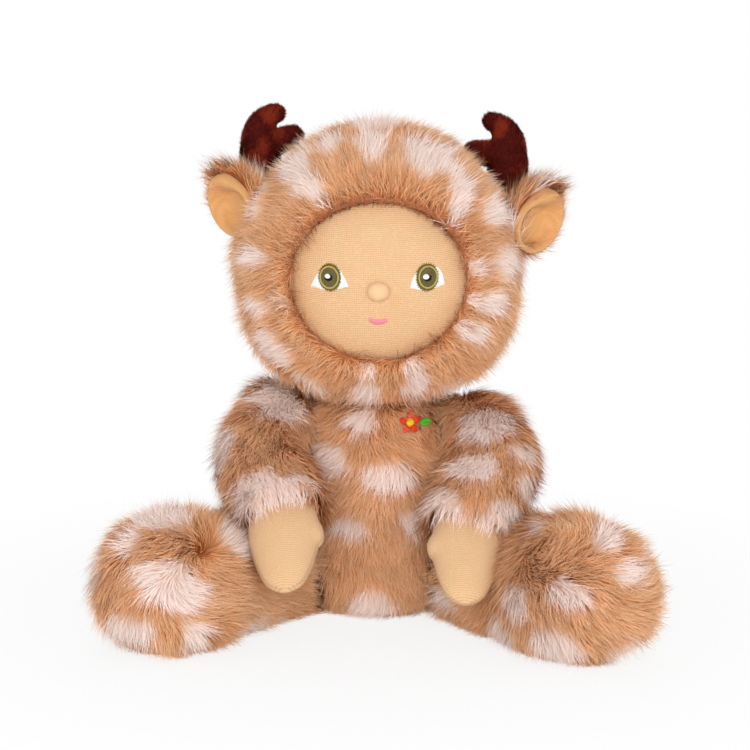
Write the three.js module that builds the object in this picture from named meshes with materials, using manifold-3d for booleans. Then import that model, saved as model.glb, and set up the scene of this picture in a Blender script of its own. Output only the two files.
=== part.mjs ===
// A seated rag doll in a fluffy fawn suit, built piece by piece as it comes apart on a bench.
// Millimetres, +Z up. The doll faces -Y, +X is its own left side, and it sits on z = 0.
import * as THREE from "three";
import { mergeVertices } from "three/addons/utils/BufferGeometryUtils.js";
import Module from "manifold-3d";

const wasm = await Module();
wasm.setup();

// Fits and cloth
const clearance = 0.3; // gap between neighbouring pieces
const overrun = 6; // how far a cut runs past what it cuts
const floorPress = 0.5; // how deep the doll's weight presses its undersides flat
const furWall = 5.2; // backing cloth with its dense pile
const knitWall = 1.2;
const velourWall = 1.2;
const threadRise = 0.6; // how far embroidery stands off the cloth
const curveSteps = 6; // chords along each curved edge of an embroidered patch

// Swelling forms: a super-ellipse up and down from the widest level, round in plan
const torso = {
  halfWidth: 37,
  halfDepth: 37,
  widestLevel: 38,
  neckLevel: 98,
  crownAboveNeck: 6,
  lowerPower: 3.4,
  upperPower: 2.6,
  sides: 22,
  steps: 10,
};
const head = {
  halfWidth: 62,
  halfDepth: 57,
  halfHeight: 60.5,
  forward: 2,
  pressAtNeck: 1.8,
  lowerPower: 2.5,
  upperPower: 2,
  sides: 24,
  steps: 13,
};
const face = { halfWidth: 38, halfHeight: 34, drop: 4, seam: 3 };
const hem = { radius: 2.8, steps: 28, sides: 5 };
const eye = {
  apart: 41.6,
  rise: 2.5,
  whiteHalfWidth: 8.6,
  whiteTop: 5.6,
  whiteBottom: 4.6,
  irisHalfWidth: 5.1,
  irisHalfHeight: 6,
  pupilRadius: 2.3,
  corners: 14,
};
const nose = { halfWidth: 5.1, halfHeight: 4.6, rise: 4.2, drop: 3.1, segments: 14 };
const mouth = { halfWidth: 4, halfHeight: 1.3, curve: 0.9, drop: 15.9 };

// Ears and antlers. Each side's differ a little, as they were sewn on by hand.
const ear = {
  halfWidth: 14.5,
  halfLength: 17,
  depth: 13,
  furWall: 2,
  liningWall: 3.2,
  liningProud: 2.4,
  outward: 65,
  forward: 9,
  height: 180,
  nod: 6,
  segments: 14,
  arcSteps: 3,
};
const antler = {
  outward: 50,
  back: 5,
  rootLevel: 176,
  beamHeight: 47,
  beamRadius: 8.8,
  tineLevel: 28,
  tineLength: 17,
  tineRadius: 5,
  sides: 8,
  steps: 9,
};
// [share of the length, share of the height, outward share of the height, share of the radius]
const beamShares = [
  [0, 0, -0.16, 0.8],
  [0.31, 0.3, 0.03, 0.9],
  [0.45, 0.45, 0.06, 0.94],
  [0.57, 0.58, 0.06, 0.92],
  [0.69, 0.72, 0.055, 0.82],
  [0.765, 0.8, 0.035, 0.68],
  [0.83, 0.86, -0.01, 0.53],
  [0.895, 0.9, -0.07, 0.42],
  [0.95, 0.915, -0.13, 0.36],
  [1, 0.92, -0.185, 0],
];
// [share of the length, share of the radius]
const tineShares = [
  [0, 0],
  [0.1, 0.8],
  [0.35, 1],
  [0.6, 0.92],
  [0.8, 0.84],
  [0.93, 0.56],
  [1, 0],
];
// [share of the length, share of the radius]
const roundedShares = [
  [0, 0],
  [0.1, 0.66],
  [0.35, 1],
  [0.65, 1],
  [0.9, 0.66],
  [1, 0],
];

// Arms and legs. Each turns on a disc joint whose face lies flat against the torso.
const arm = {
  jointHalfGap: 28.5,
  jointForward: 0,
  jointHeight: 78,
  rootOffset: 12,
  radius: 18,
  flatReach: 34,
  turnRoom: 0.6,
  sides: 12,
  steps: 9,
};
// [share of the length, share of the radius]
const sleeveShares = [
  [0, 0],
  [0.02, 0.44],
  [0.08, 0.78],
  [0.2, 1],
  [0.45, 1],
  [0.75, 0.95],
  [1, 0.88],
];
// Elbow, wrist and fingertip from the shoulder: forward, down and outward
const elbow = { forward: 28, down: 6.5, outward: 8 };
const wrist = { forward: 60, down: 20, outward: -6 };
const fingertip = { forward: 92, down: 49, outward: -11 };
const hand = {
  halfWidth: 15,
  halfThickness: 9,
  tuck: 6,
  thumbRadius: 5.4,
  thumbLength: 9,
  thumbOut: 11,
  sides: 10,
  steps: 7,
  thumbSides: 6,
};
// [share of the length, share of the radius]
const handShares = [
  [0, 0.7],
  [0.15, 0.88],
  [0.32, 1],
  [0.5, 0.95],
  [0.72, 0.78],
  [0.9, 0.54],
  [1, 0],
];
const thumbAtShare = 0.3; // how far along the hand the thumb starts

const leg = {
  jointHalfGap: 21,
  jointForward: 12,
  rootOffset: 17,
  rootRadius: 24.5,
  flatReach: 31,
  hipToFoot: 100,
  footRadius: 29,
  sides: 16,
  steps: 10,
};
// [share of the length, share of the foot's radius]
const legShares = [
  [0, 0],
  [0.015, 0.36],
  [0.06, 0.65],
  [0.165, 0.845],
  [0.36, 0.79],
  [0.55, 0.75],
  [0.66, 0.87],
  [0.8, 1],
  [0.92, 0.81],
  [0.98, 0.42],
  [1, 0],
];

// Disc joints: a stemmed disc in the limb, a washer in the torso, and a ring locked on the stem
const joint = {
  thickness: 1.6,
  stemRadius: 2.4,
  ringRadius: 5,
  ringThickness: 2,
  segments: 10,
  seatSegments: 14,
  seatEase: 1.5,
};
const discRadius = { neck: 12, shoulder: 7, hip: 9 };

// The sprig sewn on the chest
const sprig = {
  outward: 14,
  belowNeck: 10,
  petals: 5,
  petalRadius: 1.9,
  petalRing: 2.9,
  centreRadius: 1.5,
  leafLength: 5,
  leafHalfWidth: 1.5,
  petalCorners: 6,
};

// What differs between the doll's own left and right, in degrees and millimetres
const sides = [
  {
    name: "left",
    sign: 1,
    legSplay: 30.5,
    legTuck: 0,
    footOutward: 0,
    armSplay: 4,
    wristDrop: 8.5,
    handDrop: 7.5,
    earShift: 6,
    earLift: -4,
    earTurn: 42,
    earLean: 42,
    antlerShift: 5,
    antlerLift: 0,
    tineTilt: 6,
  },
  {
    name: "right",
    sign: -1,
    legSplay: 32.5,
    legTuck: 9,
    footOutward: 8,
    armSplay: 6,
    wristDrop: 3,
    handDrop: 2,
    earShift: 0,
    earLift: 3,
    earTurn: 46,
    earLean: 45,
    antlerShift: 0,
    antlerLift: 4,
    tineTilt: 20,
  },
];

const colours = {
  fur: 0xc48a5f,
  hem: 0x9a5a32,
  knit: 0xe8c491,
  velour: 0x4f1b12,
  lining: 0xe3ba86,
  white: 0xf4f1ea,
  olive: 0x75702a,
  dark: 0x1c1712,
  pink: 0xe08a9a,
  filling: 0xf3f1ec,
  joint: 0xe9e7e0,
  petal: 0xd9442c,
  yolk: 0xf2c22e,
  leaf: 0x58b13c,
};

const sheen = { cloth: 0.9, joint: 0.5 };

const X = new THREE.Vector3(1, 0, 0);
const Y = new THREE.Vector3(0, 1, 0);
const Z = new THREE.Vector3(0, 0, 1);
const radians = THREE.MathUtils.degToRad;

// Closed meshes to solids and back
function solid(geometry) {
  const bare = geometry.clone();
  bare.deleteAttribute("normal");
  bare.deleteAttribute("uv");
  const merged = mergeVertices(bare);
  const corners = merged.index.array;
  const faces = [];
  for (let i = 0; i < corners.length; i += 3) {
    const [a, b, c] = corners.slice(i, i + 3);
    if (a !== b && b !== c && c !== a) faces.push(a, b, c);
  }
  return new wasm.Manifold(
    new wasm.Mesh({
      numProp: 3,
      vertProperties: merged.attributes.position.array,
      triVerts: new Uint32Array(faces),
    }),
  );
}

const doll = new THREE.Group();

function add(name, shape, colour, roughness = sheen.cloth) {
  const made = shape.getMesh();
  const geometry = new THREE.BufferGeometry();
  geometry.setAttribute("position", new THREE.BufferAttribute(made.vertProperties, made.numProp));
  geometry.setIndex(new THREE.BufferAttribute(made.triVerts, 1));
  geometry.computeVertexNormals();
  const material = new THREE.MeshStandardMaterial({ color: colour, roughness, metalness: 0 });
  const mesh = new THREE.Mesh(geometry, material);
  mesh.name = name;
  doll.add(mesh);
}

// Rings from first to last: a ring holds its centre and two half axes, and one with none is a point.
function loft(rings, count) {
  const points = [];
  const starts = rings.map((ring) => {
    const start = points.length;
    const around = ring.across ? count : 1;
    for (let i = 0; i < around; i++) {
      const angle = (2 * Math.PI * i) / count;
      const point = ring.centre.clone();
      if (ring.across) {
        point.addScaledVector(ring.across, Math.cos(angle));
        point.addScaledVector(ring.up, Math.sin(angle));
      }
      points.push(point);
    }
    return start;
  });
  const faces = [];
  for (let r = 0; r + 1 < rings.length; r++) {
    for (let i = 0; i < count; i++) {
      const next = (i + 1) % count;
      const low = (k) => starts[r] + (rings[r].across ? k : 0);
      const high = (k) => starts[r + 1] + (rings[r + 1].across ? k : 0);
      if (rings[r].across) faces.push(low(i), low(next), high(i));
      if (rings[r + 1].across) faces.push(low(next), high(next), high(i));
    }
  }
  const geometry = new THREE.BufferGeometry().setFromPoints(points);
  geometry.setIndex(faces);
  return solid(geometry);
}

// An upright form that swells to its widest level, with its skin drawn in by inset
function swell(form, inset) {
  const rings = [];
  for (let k = 0; k <= form.steps; k++) {
    const level = -Math.cos((Math.PI * k) / form.steps);
    const power = level < 0 ? form.lowerPower : form.upperPower;
    const widthShare = (1 - Math.abs(level) ** power) ** (1 / power);
    const reach = (level < 0 ? form.below : form.above) - inset;
    const ring = { centre: form.centre.clone().addScaledVector(Z, level * reach) };
    if (k > 0 && k < form.steps) {
      ring.across = X.clone().multiplyScalar((form.halfWidth - inset) * widthShare);
      ring.up = Y.clone().multiplyScalar((form.halfDepth - inset) * widthShare);
    }
    rings.push(ring);
  }
  return loft(rings, form.sides);
}

// A limb along a curve. Its outline gives shares of the length and of the two radii.
// An open end keeps its place and runs on past the form, for a cut that leaves a mouth.
function limb(form, inset, open) {
  const { path, outline, across, halfWidth, halfThickness, sides: count, steps } = form;
  const spline = new THREE.SplineCurve(outline.map((p) => new THREE.Vector2(p[0], p.at(-1))));
  const length = path.getLength();
  const startInset = open === "start" ? 0 : inset;
  const endInset = open === "end" ? 0 : inset;
  const inner = length - startInset - endInset;
  const rings = spline.getPoints(steps).map((point, index) => {
    const along = (startInset + Math.min(Math.max(point.x, 0), 1) * inner) / length;
    const centre = path.getPointAt(Math.min(Math.max(along, 0), 1));
    const heading = path.getTangentAt(Math.min(Math.max(along, 0), 1));
    if (along < 0) centre.addScaledVector(heading, along * length);
    if (along > 1) centre.addScaledVector(heading, (along - 1) * length);
    if (open === "start" && index === 0) centre.addScaledVector(heading, -overrun);
    if (open === "end" && index === steps) centre.addScaledVector(heading, overrun);
    if (point.y <= 0) return { centre };
    const up = new THREE.Vector3().crossVectors(heading, across).normalize();
    return {
      centre,
      across: new THREE.Vector3().crossVectors(up, heading).multiplyScalar((halfWidth - inset) * point.y),
      up: up.multiplyScalar((halfThickness - inset) * point.y),
    };
  });
  if (rings[0].across) rings.unshift({ centre: rings[0].centre });
  if (rings.at(-1).across) rings.push({ centre: rings.at(-1).centre });
  return loft(rings, count);
}

// A round bar, or a plate, along an axis: from and to are measured along it from the point
function bar(point, axis, radius, from, to, segments = joint.segments) {
  const geometry = new THREE.CylinderGeometry(radius, radius, to - from, segments);
  geometry.applyQuaternion(new THREE.Quaternion().setFromUnitVectors(Y, axis));
  const middle = point.clone().addScaledVector(axis, (from + to) / 2);
  return solid(geometry.translate(middle.x, middle.y, middle.z));
}

// All that lies on the far side of a level
function below(level, reach) {
  return bar(new THREE.Vector3(0, 0, level), Z.clone().negate(), reach, 0, reach);
}

// An outline in X and Z, pushed along Y towards the viewer
function prism(shape, centreX, centreZ, depth) {
  const settings = { depth, bevelEnabled: false, curveSegments: curveSteps };
  const geometry = new THREE.ExtrudeGeometry(shape, settings);
  geometry.rotateX(Math.PI / 2);
  return solid(geometry.translate(centreX, 0, centreZ));
}

// A closed outline through points, and an ellipse with so many corners
function outlineThrough(points) {
  const shape = new THREE.Shape();
  points.forEach(([x, z], i) => (i ? shape.lineTo(x, z) : shape.moveTo(x, z)));
  shape.closePath();
  return shape;
}

function ellipse(halfWidth, halfHeight, corners) {
  const points = [];
  for (let i = 0; i < corners; i++) {
    const angle = (2 * Math.PI * i) / corners;
    points.push([halfWidth * Math.cos(angle), halfHeight * Math.sin(angle)]);
  }
  return outlineThrough(points);
}

function ball(centre, halfWidth, halfDepth, halfHeight, segments) {
  const geometry = new THREE.SphereGeometry(1, segments, Math.ceil(segments / 2));
  geometry.rotateX(Math.PI / 2).scale(halfWidth, halfDepth, halfHeight);
  return solid(geometry.translate(centre.x, centre.y, centre.z));
}

// Where the forms stand
const torsoForm = {
  ...torso,
  centre: new THREE.Vector3(0, 0, torso.widestLevel),
  below: torso.widestLevel + floorPress,
  above: torso.neckLevel + torso.crownAboveNeck - torso.widestLevel,
};
const headBottom = torso.neckLevel + clearance;
const headForm = {
  ...head,
  centre: new THREE.Vector3(0, -head.forward, headBottom - head.pressAtNeck + head.halfHeight),
  below: head.halfHeight,
  above: head.halfHeight,
};
const reach = 2 * (torso.neckLevel + head.halfHeight); // a cut as large as the doll

// One joint's five stations along its axis, from the torso's skin outwards
const jointAt = {
  neck: { point: new THREE.Vector3(0, 0, torso.neckLevel), axis: Z.clone(), radius: discRadius.neck },
};

for (const side of sides) {
  for (const [kind, size, splay] of [
    ["shoulder", arm, side.armSplay],
    ["hip", leg, side.legSplay],
  ]) {
    const turn = radians(splay);
    const axis = new THREE.Vector3(side.sign * Math.cos(turn), Math.sin(turn), 0);
    const heading = new THREE.Vector3(side.sign * Math.sin(turn), -Math.cos(turn), 0);
    const height = kind === "hip" ? leg.rootRadius - floorPress : arm.jointHeight;
    const point = new THREE.Vector3(side.sign * size.jointHalfGap, -size.jointForward, height);
    const root = point.clone().addScaledVector(axis, size.rootOffset);
    jointAt[side.name + "_" + kind] = { point, axis, heading, root, radius: discRadius[kind] };
  }
}

// The parts of a disc joint, and the room that they take in the cloth and the filling
function discJoint(name, { point, axis, radius }) {
  const limbFace = clearance + furWall + clearance;
  const torsoFace = -furWall - clearance;
  const washerFace = torsoFace - joint.thickness;
  const ringFace = washerFace - clearance;
  const ringEnd = ringFace - joint.ringThickness;
  const holeEnd = limbFace - clearance / 2;
  const stemHole = bar(point, axis, joint.stemRadius + clearance, ringEnd - overrun, holeEnd);
  const disc = bar(point, axis, radius, limbFace, limbFace + joint.thickness);
  const stem = bar(point, axis, joint.stemRadius, ringEnd, limbFace + joint.thickness / 2);
  const washer = bar(point, axis, radius, washerFace, torsoFace).subtract(stemHole);
  const ring = bar(point, axis, joint.ringRadius, ringEnd, ringFace).subtract(stemHole);
  add(name + "_disc", disc.add(stem), colours.joint, sheen.joint);
  add(name + "_washer", washer, colours.joint, sheen.joint);
  add(name + "_lock_ring", ring, colours.joint, sheen.joint);
  return {
    stemHole,
    limbRoom: bar(point, axis, radius + clearance, -overrun, limbFace + joint.thickness + clearance),
    torsoRoom: bar(point, axis, radius + clearance, ringEnd - clearance, overrun),
  };
}

// The round seat that a limb's root presses into the torso
function seat({ point, axis }, radius, wall) {
  return bar(point, axis, radius + joint.seatEase + wall, -wall, reach, joint.seatSegments);
}

// The torso
const room = {};
for (const name of Object.keys(jointAt)) room[name] = discJoint(name, jointAt[name]);

function torsoBody(inset) {
  let body = swell(torsoForm, inset);
  body = body.subtract(below(inset, reach));
  body = body.subtract(bar(jointAt.neck.point, Z, reach, -inset, reach));
  for (const side of sides) {
    body = body.subtract(seat(jointAt[side.name + "_shoulder"], arm.radius, inset));
    body = body.subtract(seat(jointAt[side.name + "_hip"], leg.rootRadius, inset));
  }
  return body;
}

let torsoCover = torsoBody(0).subtract(torsoBody(furWall));
let torsoFilling = torsoBody(furWall + clearance);
for (const fit of Object.values(room)) {
  torsoCover = torsoCover.subtract(fit.stemHole);
  torsoFilling = torsoFilling.subtract(fit.torsoRoom);
}
add("torso_cover", torsoCover, colours.fur);
add("torso_filling", torsoFilling, colours.filling);

// The head: a fur hood round a knitted face
function headBody(inset) {
  return swell(headForm, inset).subtract(below(headBottom + inset, reach));
}

const faceInset = furWall + clearance;
const faceCentreZ = headForm.centre.z - face.drop;
const hemReach = 2 * hem.radius + clearance;
const openingShape = ellipse(face.halfWidth + hemReach, face.halfHeight + hemReach, hem.steps);
const opening = prism(openingShape, 0, faceCentreZ, reach);

// The front of the head at a place in the face, on a skin drawn in by inset
function headFront(x, z, inset) {
  const level = z - headForm.centre.z;
  const power = level < 0 ? head.lowerPower : head.upperPower;
  const levelShare = Math.abs(level) / (head.halfHeight - inset);
  const widthShare = (1 - levelShare ** power) ** (1 / power);
  const acrossShare = x / ((head.halfWidth - inset) * widthShare);
  const depthShare = widthShare * Math.sqrt(1 - acrossShare ** 2);
  return headForm.centre.y - (head.halfDepth - inset) * depthShare;
}

function hemTube() {
  const rings = [];
  const middle = (furWall + clearance) / 2;
  for (let i = 0; i <= hem.steps; i++) {
    const angle = (2 * Math.PI * i) / hem.steps;
    const x = (face.halfWidth + hem.radius) * Math.cos(angle);
    const z = faceCentreZ + (face.halfHeight + hem.radius) * Math.sin(angle);
    rings.push(new THREE.Vector3(x, headFront(x, z, middle), z));
  }
  const section = [];
  const count = hem.sides;
  for (let i = 0; i < hem.steps; i++) {
    const ahead = rings[(i + 1) % hem.steps].clone().sub(rings[(i + hem.steps - 1) % hem.steps]).normalize();
    const out = new THREE.Vector3().crossVectors(ahead, Y).normalize();
    const lift = new THREE.Vector3().crossVectors(out, ahead);
    for (let k = 0; k < count; k++) {
      const angle = (2 * Math.PI * k) / count;
      const point = rings[i].clone().addScaledVector(out, hem.radius * Math.cos(angle));
      section.push(point.addScaledVector(lift, hem.radius * Math.sin(angle)));
    }
  }
  const faces = [];
  for (let i = 0; i < hem.steps; i++) {
    for (let k = 0; k < count; k++) {
      const a = i * count + k;
      const b = i * count + ((k + 1) % count);
      const c = ((i + 1) % hem.steps) * count + k;
      const d = ((i + 1) % hem.steps) * count + ((k + 1) % count);
      faces.push(a, c, b, b, c, d);
    }
  }
  const geometry = new THREE.BufferGeometry().setFromPoints(section);
  geometry.setIndex(faces);
  return solid(geometry);
}

const hoodCover = headBody(0)
  .subtract(headBody(furWall))
  .subtract(opening)
  .subtract(room.neck.stemHole);
add("hood_cover", hoodCover, colours.fur);
add("hood_hem", hemTube().subtract(headBody(faceInset - clearance)), colours.hem);

const panelReach = hemReach + face.seam;
const panelShape = ellipse(face.halfWidth + panelReach, face.halfHeight + panelReach, hem.steps);
const facePanel = prism(panelShape, 0, faceCentreZ, reach);
const faceShell = headBody(faceInset).subtract(headBody(faceInset + knitWall));
add("face_cover", faceShell.intersect(facePanel).subtract(room.neck.limbRoom), colours.knit);
const headFilling = headBody(faceInset + knitWall + clearance).subtract(room.neck.limbRoom);
add("head_filling", headFilling, colours.filling);

// Embroidery: an outline laid on a form's skin, or on the stitches of the layer under it
function embroider(name, outline, x, z, form, inset, colour, layer = 0) {
  const foot = inset - clearance - layer * (threadRise + clearance);
  const skin = swell(form, foot - threadRise).subtract(swell(form, foot));
  add(name, skin.intersect(prism(outline, x, z, reach)), colour);
}

const eyeZ = faceCentreZ + eye.rise;
for (const side of sides) {
  const x = (side.sign * eye.apart) / 2;
  const white = new THREE.Shape();
  white.moveTo(-eye.whiteHalfWidth, -eye.whiteBottom);
  white.quadraticCurveTo(-eye.whiteHalfWidth, eye.whiteTop, 0, eye.whiteTop);
  white.quadraticCurveTo(eye.whiteHalfWidth, eye.whiteTop, eye.whiteHalfWidth, -eye.whiteBottom);
  white.closePath();
  const pupilHole = eye.pupilRadius + clearance;
  const iris = ellipse(eye.irisHalfWidth, eye.irisHalfHeight, eye.corners);
  const pupil = ellipse(eye.pupilRadius, eye.pupilRadius, eye.corners);
  iris.holes.push(ellipse(pupilHole, pupilHole, eye.corners));
  embroider(side.name + "_eye_white", white, x, eyeZ, headForm, faceInset, colours.white);
  embroider(side.name + "_iris", iris, x, eyeZ, headForm, faceInset, colours.olive, 1);
  embroider(side.name + "_pupil", pupil, x, eyeZ, headForm, faceInset, colours.dark, 1);
}

const noseZ = faceCentreZ - nose.drop;
const noseCentre = new THREE.Vector3(0, headFront(0, noseZ, faceInset), noseZ);
const noseBall = ball(noseCentre, nose.halfWidth, nose.rise, nose.halfHeight, nose.segments);
add("nose", noseBall.subtract(headBody(faceInset - clearance)), colours.knit);

const lips = new THREE.Shape();
lips.moveTo(-mouth.halfWidth, mouth.curve);
lips.quadraticCurveTo(0, -mouth.halfHeight - mouth.curve, mouth.halfWidth, mouth.curve);
lips.quadraticCurveTo(0, 2 * mouth.halfHeight, -mouth.halfWidth, mouth.curve);
embroider("mouth", lips, 0, faceCentreZ - mouth.drop, headForm, faceInset, colours.pink);

// Ears: a fur cup with a rolled velour lining
function cup(radius, depth, wall) {
  const points = [];
  const bend = wall / 2;
  for (let k = 0; k <= ear.arcSteps; k++) {
    const angle = (Math.PI / 2) * (k / ear.arcSteps);
    points.push(new THREE.Vector2(radius * Math.sin(angle), -depth * Math.cos(angle)));
  }
  for (let k = 1; k < ear.arcSteps; k++) {
    const angle = Math.PI * (k / ear.arcSteps);
    points.push(new THREE.Vector2(radius - bend + bend * Math.cos(angle), bend * Math.sin(angle)));
  }
  for (let k = ear.arcSteps; k >= 0; k--) {
    const angle = (Math.PI / 2) * (k / ear.arcSteps);
    points.push(new THREE.Vector2((radius - wall) * Math.sin(angle), -(depth - wall) * Math.cos(angle)));
  }
  return new THREE.LatheGeometry(points, ear.segments);
}

const headSkin = headBody(-clearance);
for (const side of sides) {
  const place = new THREE.Matrix4().makeTranslation(
    side.sign * (ear.outward + side.earShift),
    -ear.forward,
    ear.height + side.earLift,
  );
  place.multiply(new THREE.Matrix4().makeRotationZ(radians(side.sign * side.earTurn)));
  place.multiply(new THREE.Matrix4().makeRotationX(radians(ear.nod)));
  place.multiply(new THREE.Matrix4().makeRotationY(radians(side.sign * side.earLean)));
  place.multiply(new THREE.Matrix4().makeRotationX(Math.PI));
  place.multiply(new THREE.Matrix4().makeScale(1, 1, ear.halfLength / ear.halfWidth));
  const inner = ear.furWall + clearance;
  const lining = cup(ear.halfWidth - inner, ear.depth - inner, ear.liningWall);
  const back = cup(ear.halfWidth, ear.depth, ear.furWall);
  lining.translate(0, ear.liningProud, 0);
  add(side.name + "_ear_back", solid(back.applyMatrix4(place)).subtract(headSkin), colours.fur);
  add(side.name + "_ear_lining", solid(lining.applyMatrix4(place)).subtract(headSkin), colours.lining);
}

// Antlers: a beam with one tine, sewn to the hood and stuffed
function antlerBody(side, inset) {
  const place = (outward, up) =>
    new THREE.Vector3(
      side.sign * (antler.outward + side.antlerShift + outward),
      antler.back,
      antler.rootLevel + side.antlerLift + up,
    );
  const beam = beamShares.map(([, up, outward]) =>
    place(outward * antler.beamHeight, up * antler.beamHeight),
  );
  const tilt = radians(side.tineTilt);
  const inwards = antler.tineLength * Math.cos(tilt);
  const fork = place(0, antler.tineLevel);
  const tip = place(-inwards, antler.tineLevel + antler.tineLength * Math.sin(tilt));
  const parts = [
    [new THREE.CatmullRomCurve3(beam), beamShares, antler.beamRadius],
    [new THREE.LineCurve3(fork, tip), tineShares, antler.tineRadius],
  ].map(([path, outline, radius]) => {
    const form = { path, outline, across: Y, halfWidth: radius, halfThickness: radius };
    return limb({ ...form, sides: antler.sides, steps: antler.steps }, inset);
  });
  return parts[0].add(parts[1]);
}

for (const side of sides) {
  const cover = antlerBody(side, 0).subtract(antlerBody(side, velourWall)).subtract(headSkin);
  const filling = antlerBody(side, velourWall + clearance).subtract(headSkin);
  add(side.name + "_antler_cover", cover, colours.velour);
  add(side.name + "_antler_filling", filling, colours.filling);
}

// What a limb's root loses where it lies flat against the torso
function flatFace({ point, axis }, flatReach, wall) {
  return bar(point, axis, flatReach, -reach, clearance + wall, joint.seatSegments);
}

// Arms: a fur sleeve, and a knitted mitten tucked into its cuff
for (const side of sides) {
  const fit = jointAt[side.name + "_shoulder"];
  const station = ({ forward, down, outward }) =>
    fit.root
      .clone()
      .addScaledVector(fit.heading, forward)
      .addScaledVector(Z, -down)
      .addScaledVector(fit.axis, outward);
  const bend = station(elbow);
  const cuff = station({ ...wrist, down: wrist.down + side.wristDrop });
  const tip = station({ ...fingertip, down: fingertip.down + side.handDrop });
  const upper = bend.clone().sub(fit.root).normalize();
  const sleevePath = new THREE.CatmullRomCurve3([
    fit.root.clone().addScaledVector(upper, -arm.radius),
    fit.root,
    bend,
    cuff,
  ]);
  const sleeve = {
    path: sleevePath,
    outline: sleeveShares,
    across: fit.axis,
    halfWidth: arm.radius,
    halfThickness: arm.radius,
    sides: arm.sides,
    steps: arm.steps,
  };
  const ahead = tip.clone().sub(cuff).normalize();
  const mitten = {
    path: new THREE.LineCurve3(cuff.clone().addScaledVector(ahead, -hand.tuck), tip),
    outline: handShares,
    across: fit.axis,
    halfWidth: hand.halfWidth,
    halfThickness: hand.halfThickness,
    sides: hand.sides,
    steps: hand.steps,
  };
  const thumbRoot = mitten.path.getPointAt(thumbAtShare);
  const thumbStart = thumbRoot.addScaledVector(fit.axis, -hand.thumbOut);
  const thumb = {
    ...mitten,
    path: new THREE.LineCurve3(thumbStart, thumbStart.clone().addScaledVector(ahead, hand.thumbLength)),
    outline: roundedShares,
    halfWidth: hand.thumbRadius,
    halfThickness: hand.thumbRadius,
    sides: hand.thumbSides,
  };
  const handBody = (inset, open) => limb(mitten, inset, open).add(limb(thumb, inset));
  const seatHole = bar(fit.point, fit.axis, arm.radius + joint.seatEase, -reach, reach);
  const passedTorso = (inset) => swell(torsoForm, -clearance - arm.turnRoom - inset).subtract(seatHole);
  const sleeveBody = (inset, open) =>
    limb(sleeve, inset, open)
      .subtract(flatFace(fit, arm.flatReach, inset))
      .subtract(torsoBody(-clearance - inset))
      .subtract(passedTorso(inset))
      .subtract(legBody(side, -clearance - inset));
  const handStart = mitten.path.getPointAt(0);

  const sleeveCover = sleeveBody(0)
    .subtract(sleeveBody(furWall, "end"))
    .subtract(room[side.name + "_shoulder"].stemHole)
    .subtract(handBody(-clearance));
  add(side.name + "_arm_cover", sleeveCover, colours.fur);
  const armFilling = sleeveBody(furWall + clearance, "end")
    .subtract(room[side.name + "_shoulder"].limbRoom)
    .subtract(bar(handStart, ahead, arm.radius + overrun, -clearance, reach));
  add(side.name + "_arm_filling", armFilling, colours.filling);
  add(side.name + "_hand_cover", handBody(0).subtract(handBody(knitWall, "start")), colours.knit);
  const handFilling = handBody(knitWall + clearance, "start")
    .subtract(bar(handStart, ahead, arm.radius + overrun, -reach, clearance));
  add(side.name + "_hand_filling", handFilling, colours.filling);
}

// Legs: each ends in a round foot and lies on the floor
function legBody(side, inset) {
  const fit = jointAt[side.name + "_hip"];
  const heel = fit.root.clone().addScaledVector(fit.heading, -leg.rootRadius);
  const toe = fit.root
    .clone()
    .addScaledVector(fit.heading, leg.hipToFoot + leg.footRadius - side.legTuck)
    .addScaledVector(fit.axis, side.footOutward);
  toe.z = leg.footRadius - floorPress;
  const form = {
    path: new THREE.LineCurve3(heel, toe),
    outline: legShares,
    across: fit.axis,
    halfWidth: leg.footRadius,
    halfThickness: leg.footRadius,
    sides: leg.sides,
    steps: leg.steps,
  };
  return limb(form, inset).subtract(flatFace(fit, leg.flatReach, inset));
}

for (const side of sides) {
  const cover = legBody(side, 0)
    .subtract(below(0, reach))
    .subtract(legBody(side, furWall))
    .subtract(room[side.name + "_hip"].stemHole);
  add(side.name + "_leg_cover", cover, colours.fur);
  const filling = legBody(side, furWall + clearance).subtract(room[side.name + "_hip"].limbRoom);
  add(side.name + "_leg_filling", filling, colours.filling);
}

// A sprig on the chest: five petals, a centre and a leaf
const petalPoints = [];
const petalSteps = sprig.petals * sprig.petalCorners;
for (let k = 0; k < petalSteps; k++) {
  const angle = (2 * Math.PI * k) / petalSteps;
  const bulge = sprig.petalRadius * Math.abs(Math.cos((sprig.petals * angle) / 2));
  const radius = sprig.petalRing + bulge;
  petalPoints.push([radius * Math.cos(angle), radius * Math.sin(angle)]);
}
const petals = outlineThrough(petalPoints);
const yolkHole = sprig.centreRadius + clearance;
petals.holes.push(ellipse(yolkHole, yolkHole, sprig.petals * 2));
const yolk = ellipse(sprig.centreRadius, sprig.centreRadius, sprig.petals * 2);
const leaf = new THREE.Shape();
const leafStart = sprig.petalRing + sprig.petalRadius + clearance;
const leafMiddle = leafStart + sprig.leafLength / 2;
const leafTip = leafStart + sprig.leafLength;
leaf.moveTo(leafStart, 0);
leaf.quadraticCurveTo(leafMiddle, 2 * sprig.leafHalfWidth, leafTip, 0);
leaf.quadraticCurveTo(leafMiddle, -2 * sprig.leafHalfWidth, leafStart, 0);
for (const [name, shape, colour] of [
  ["petals", petals, colours.petal],
  ["centre", yolk, colours.yolk],
  ["leaf", leaf, colours.leaf],
]) {
  const height = torso.neckLevel - sprig.belowNeck;
  embroider("chest_flower_" + name, shape, sprig.outward, height, torsoForm, 0, colour);
}

export default doll;
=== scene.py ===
import math

import bmesh
import bpy
import numpy as np
from bpy.props import FloatProperty, FloatVectorProperty, IntProperty, PointerProperty
from mathutils import Matrix, Vector, noise


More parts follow.
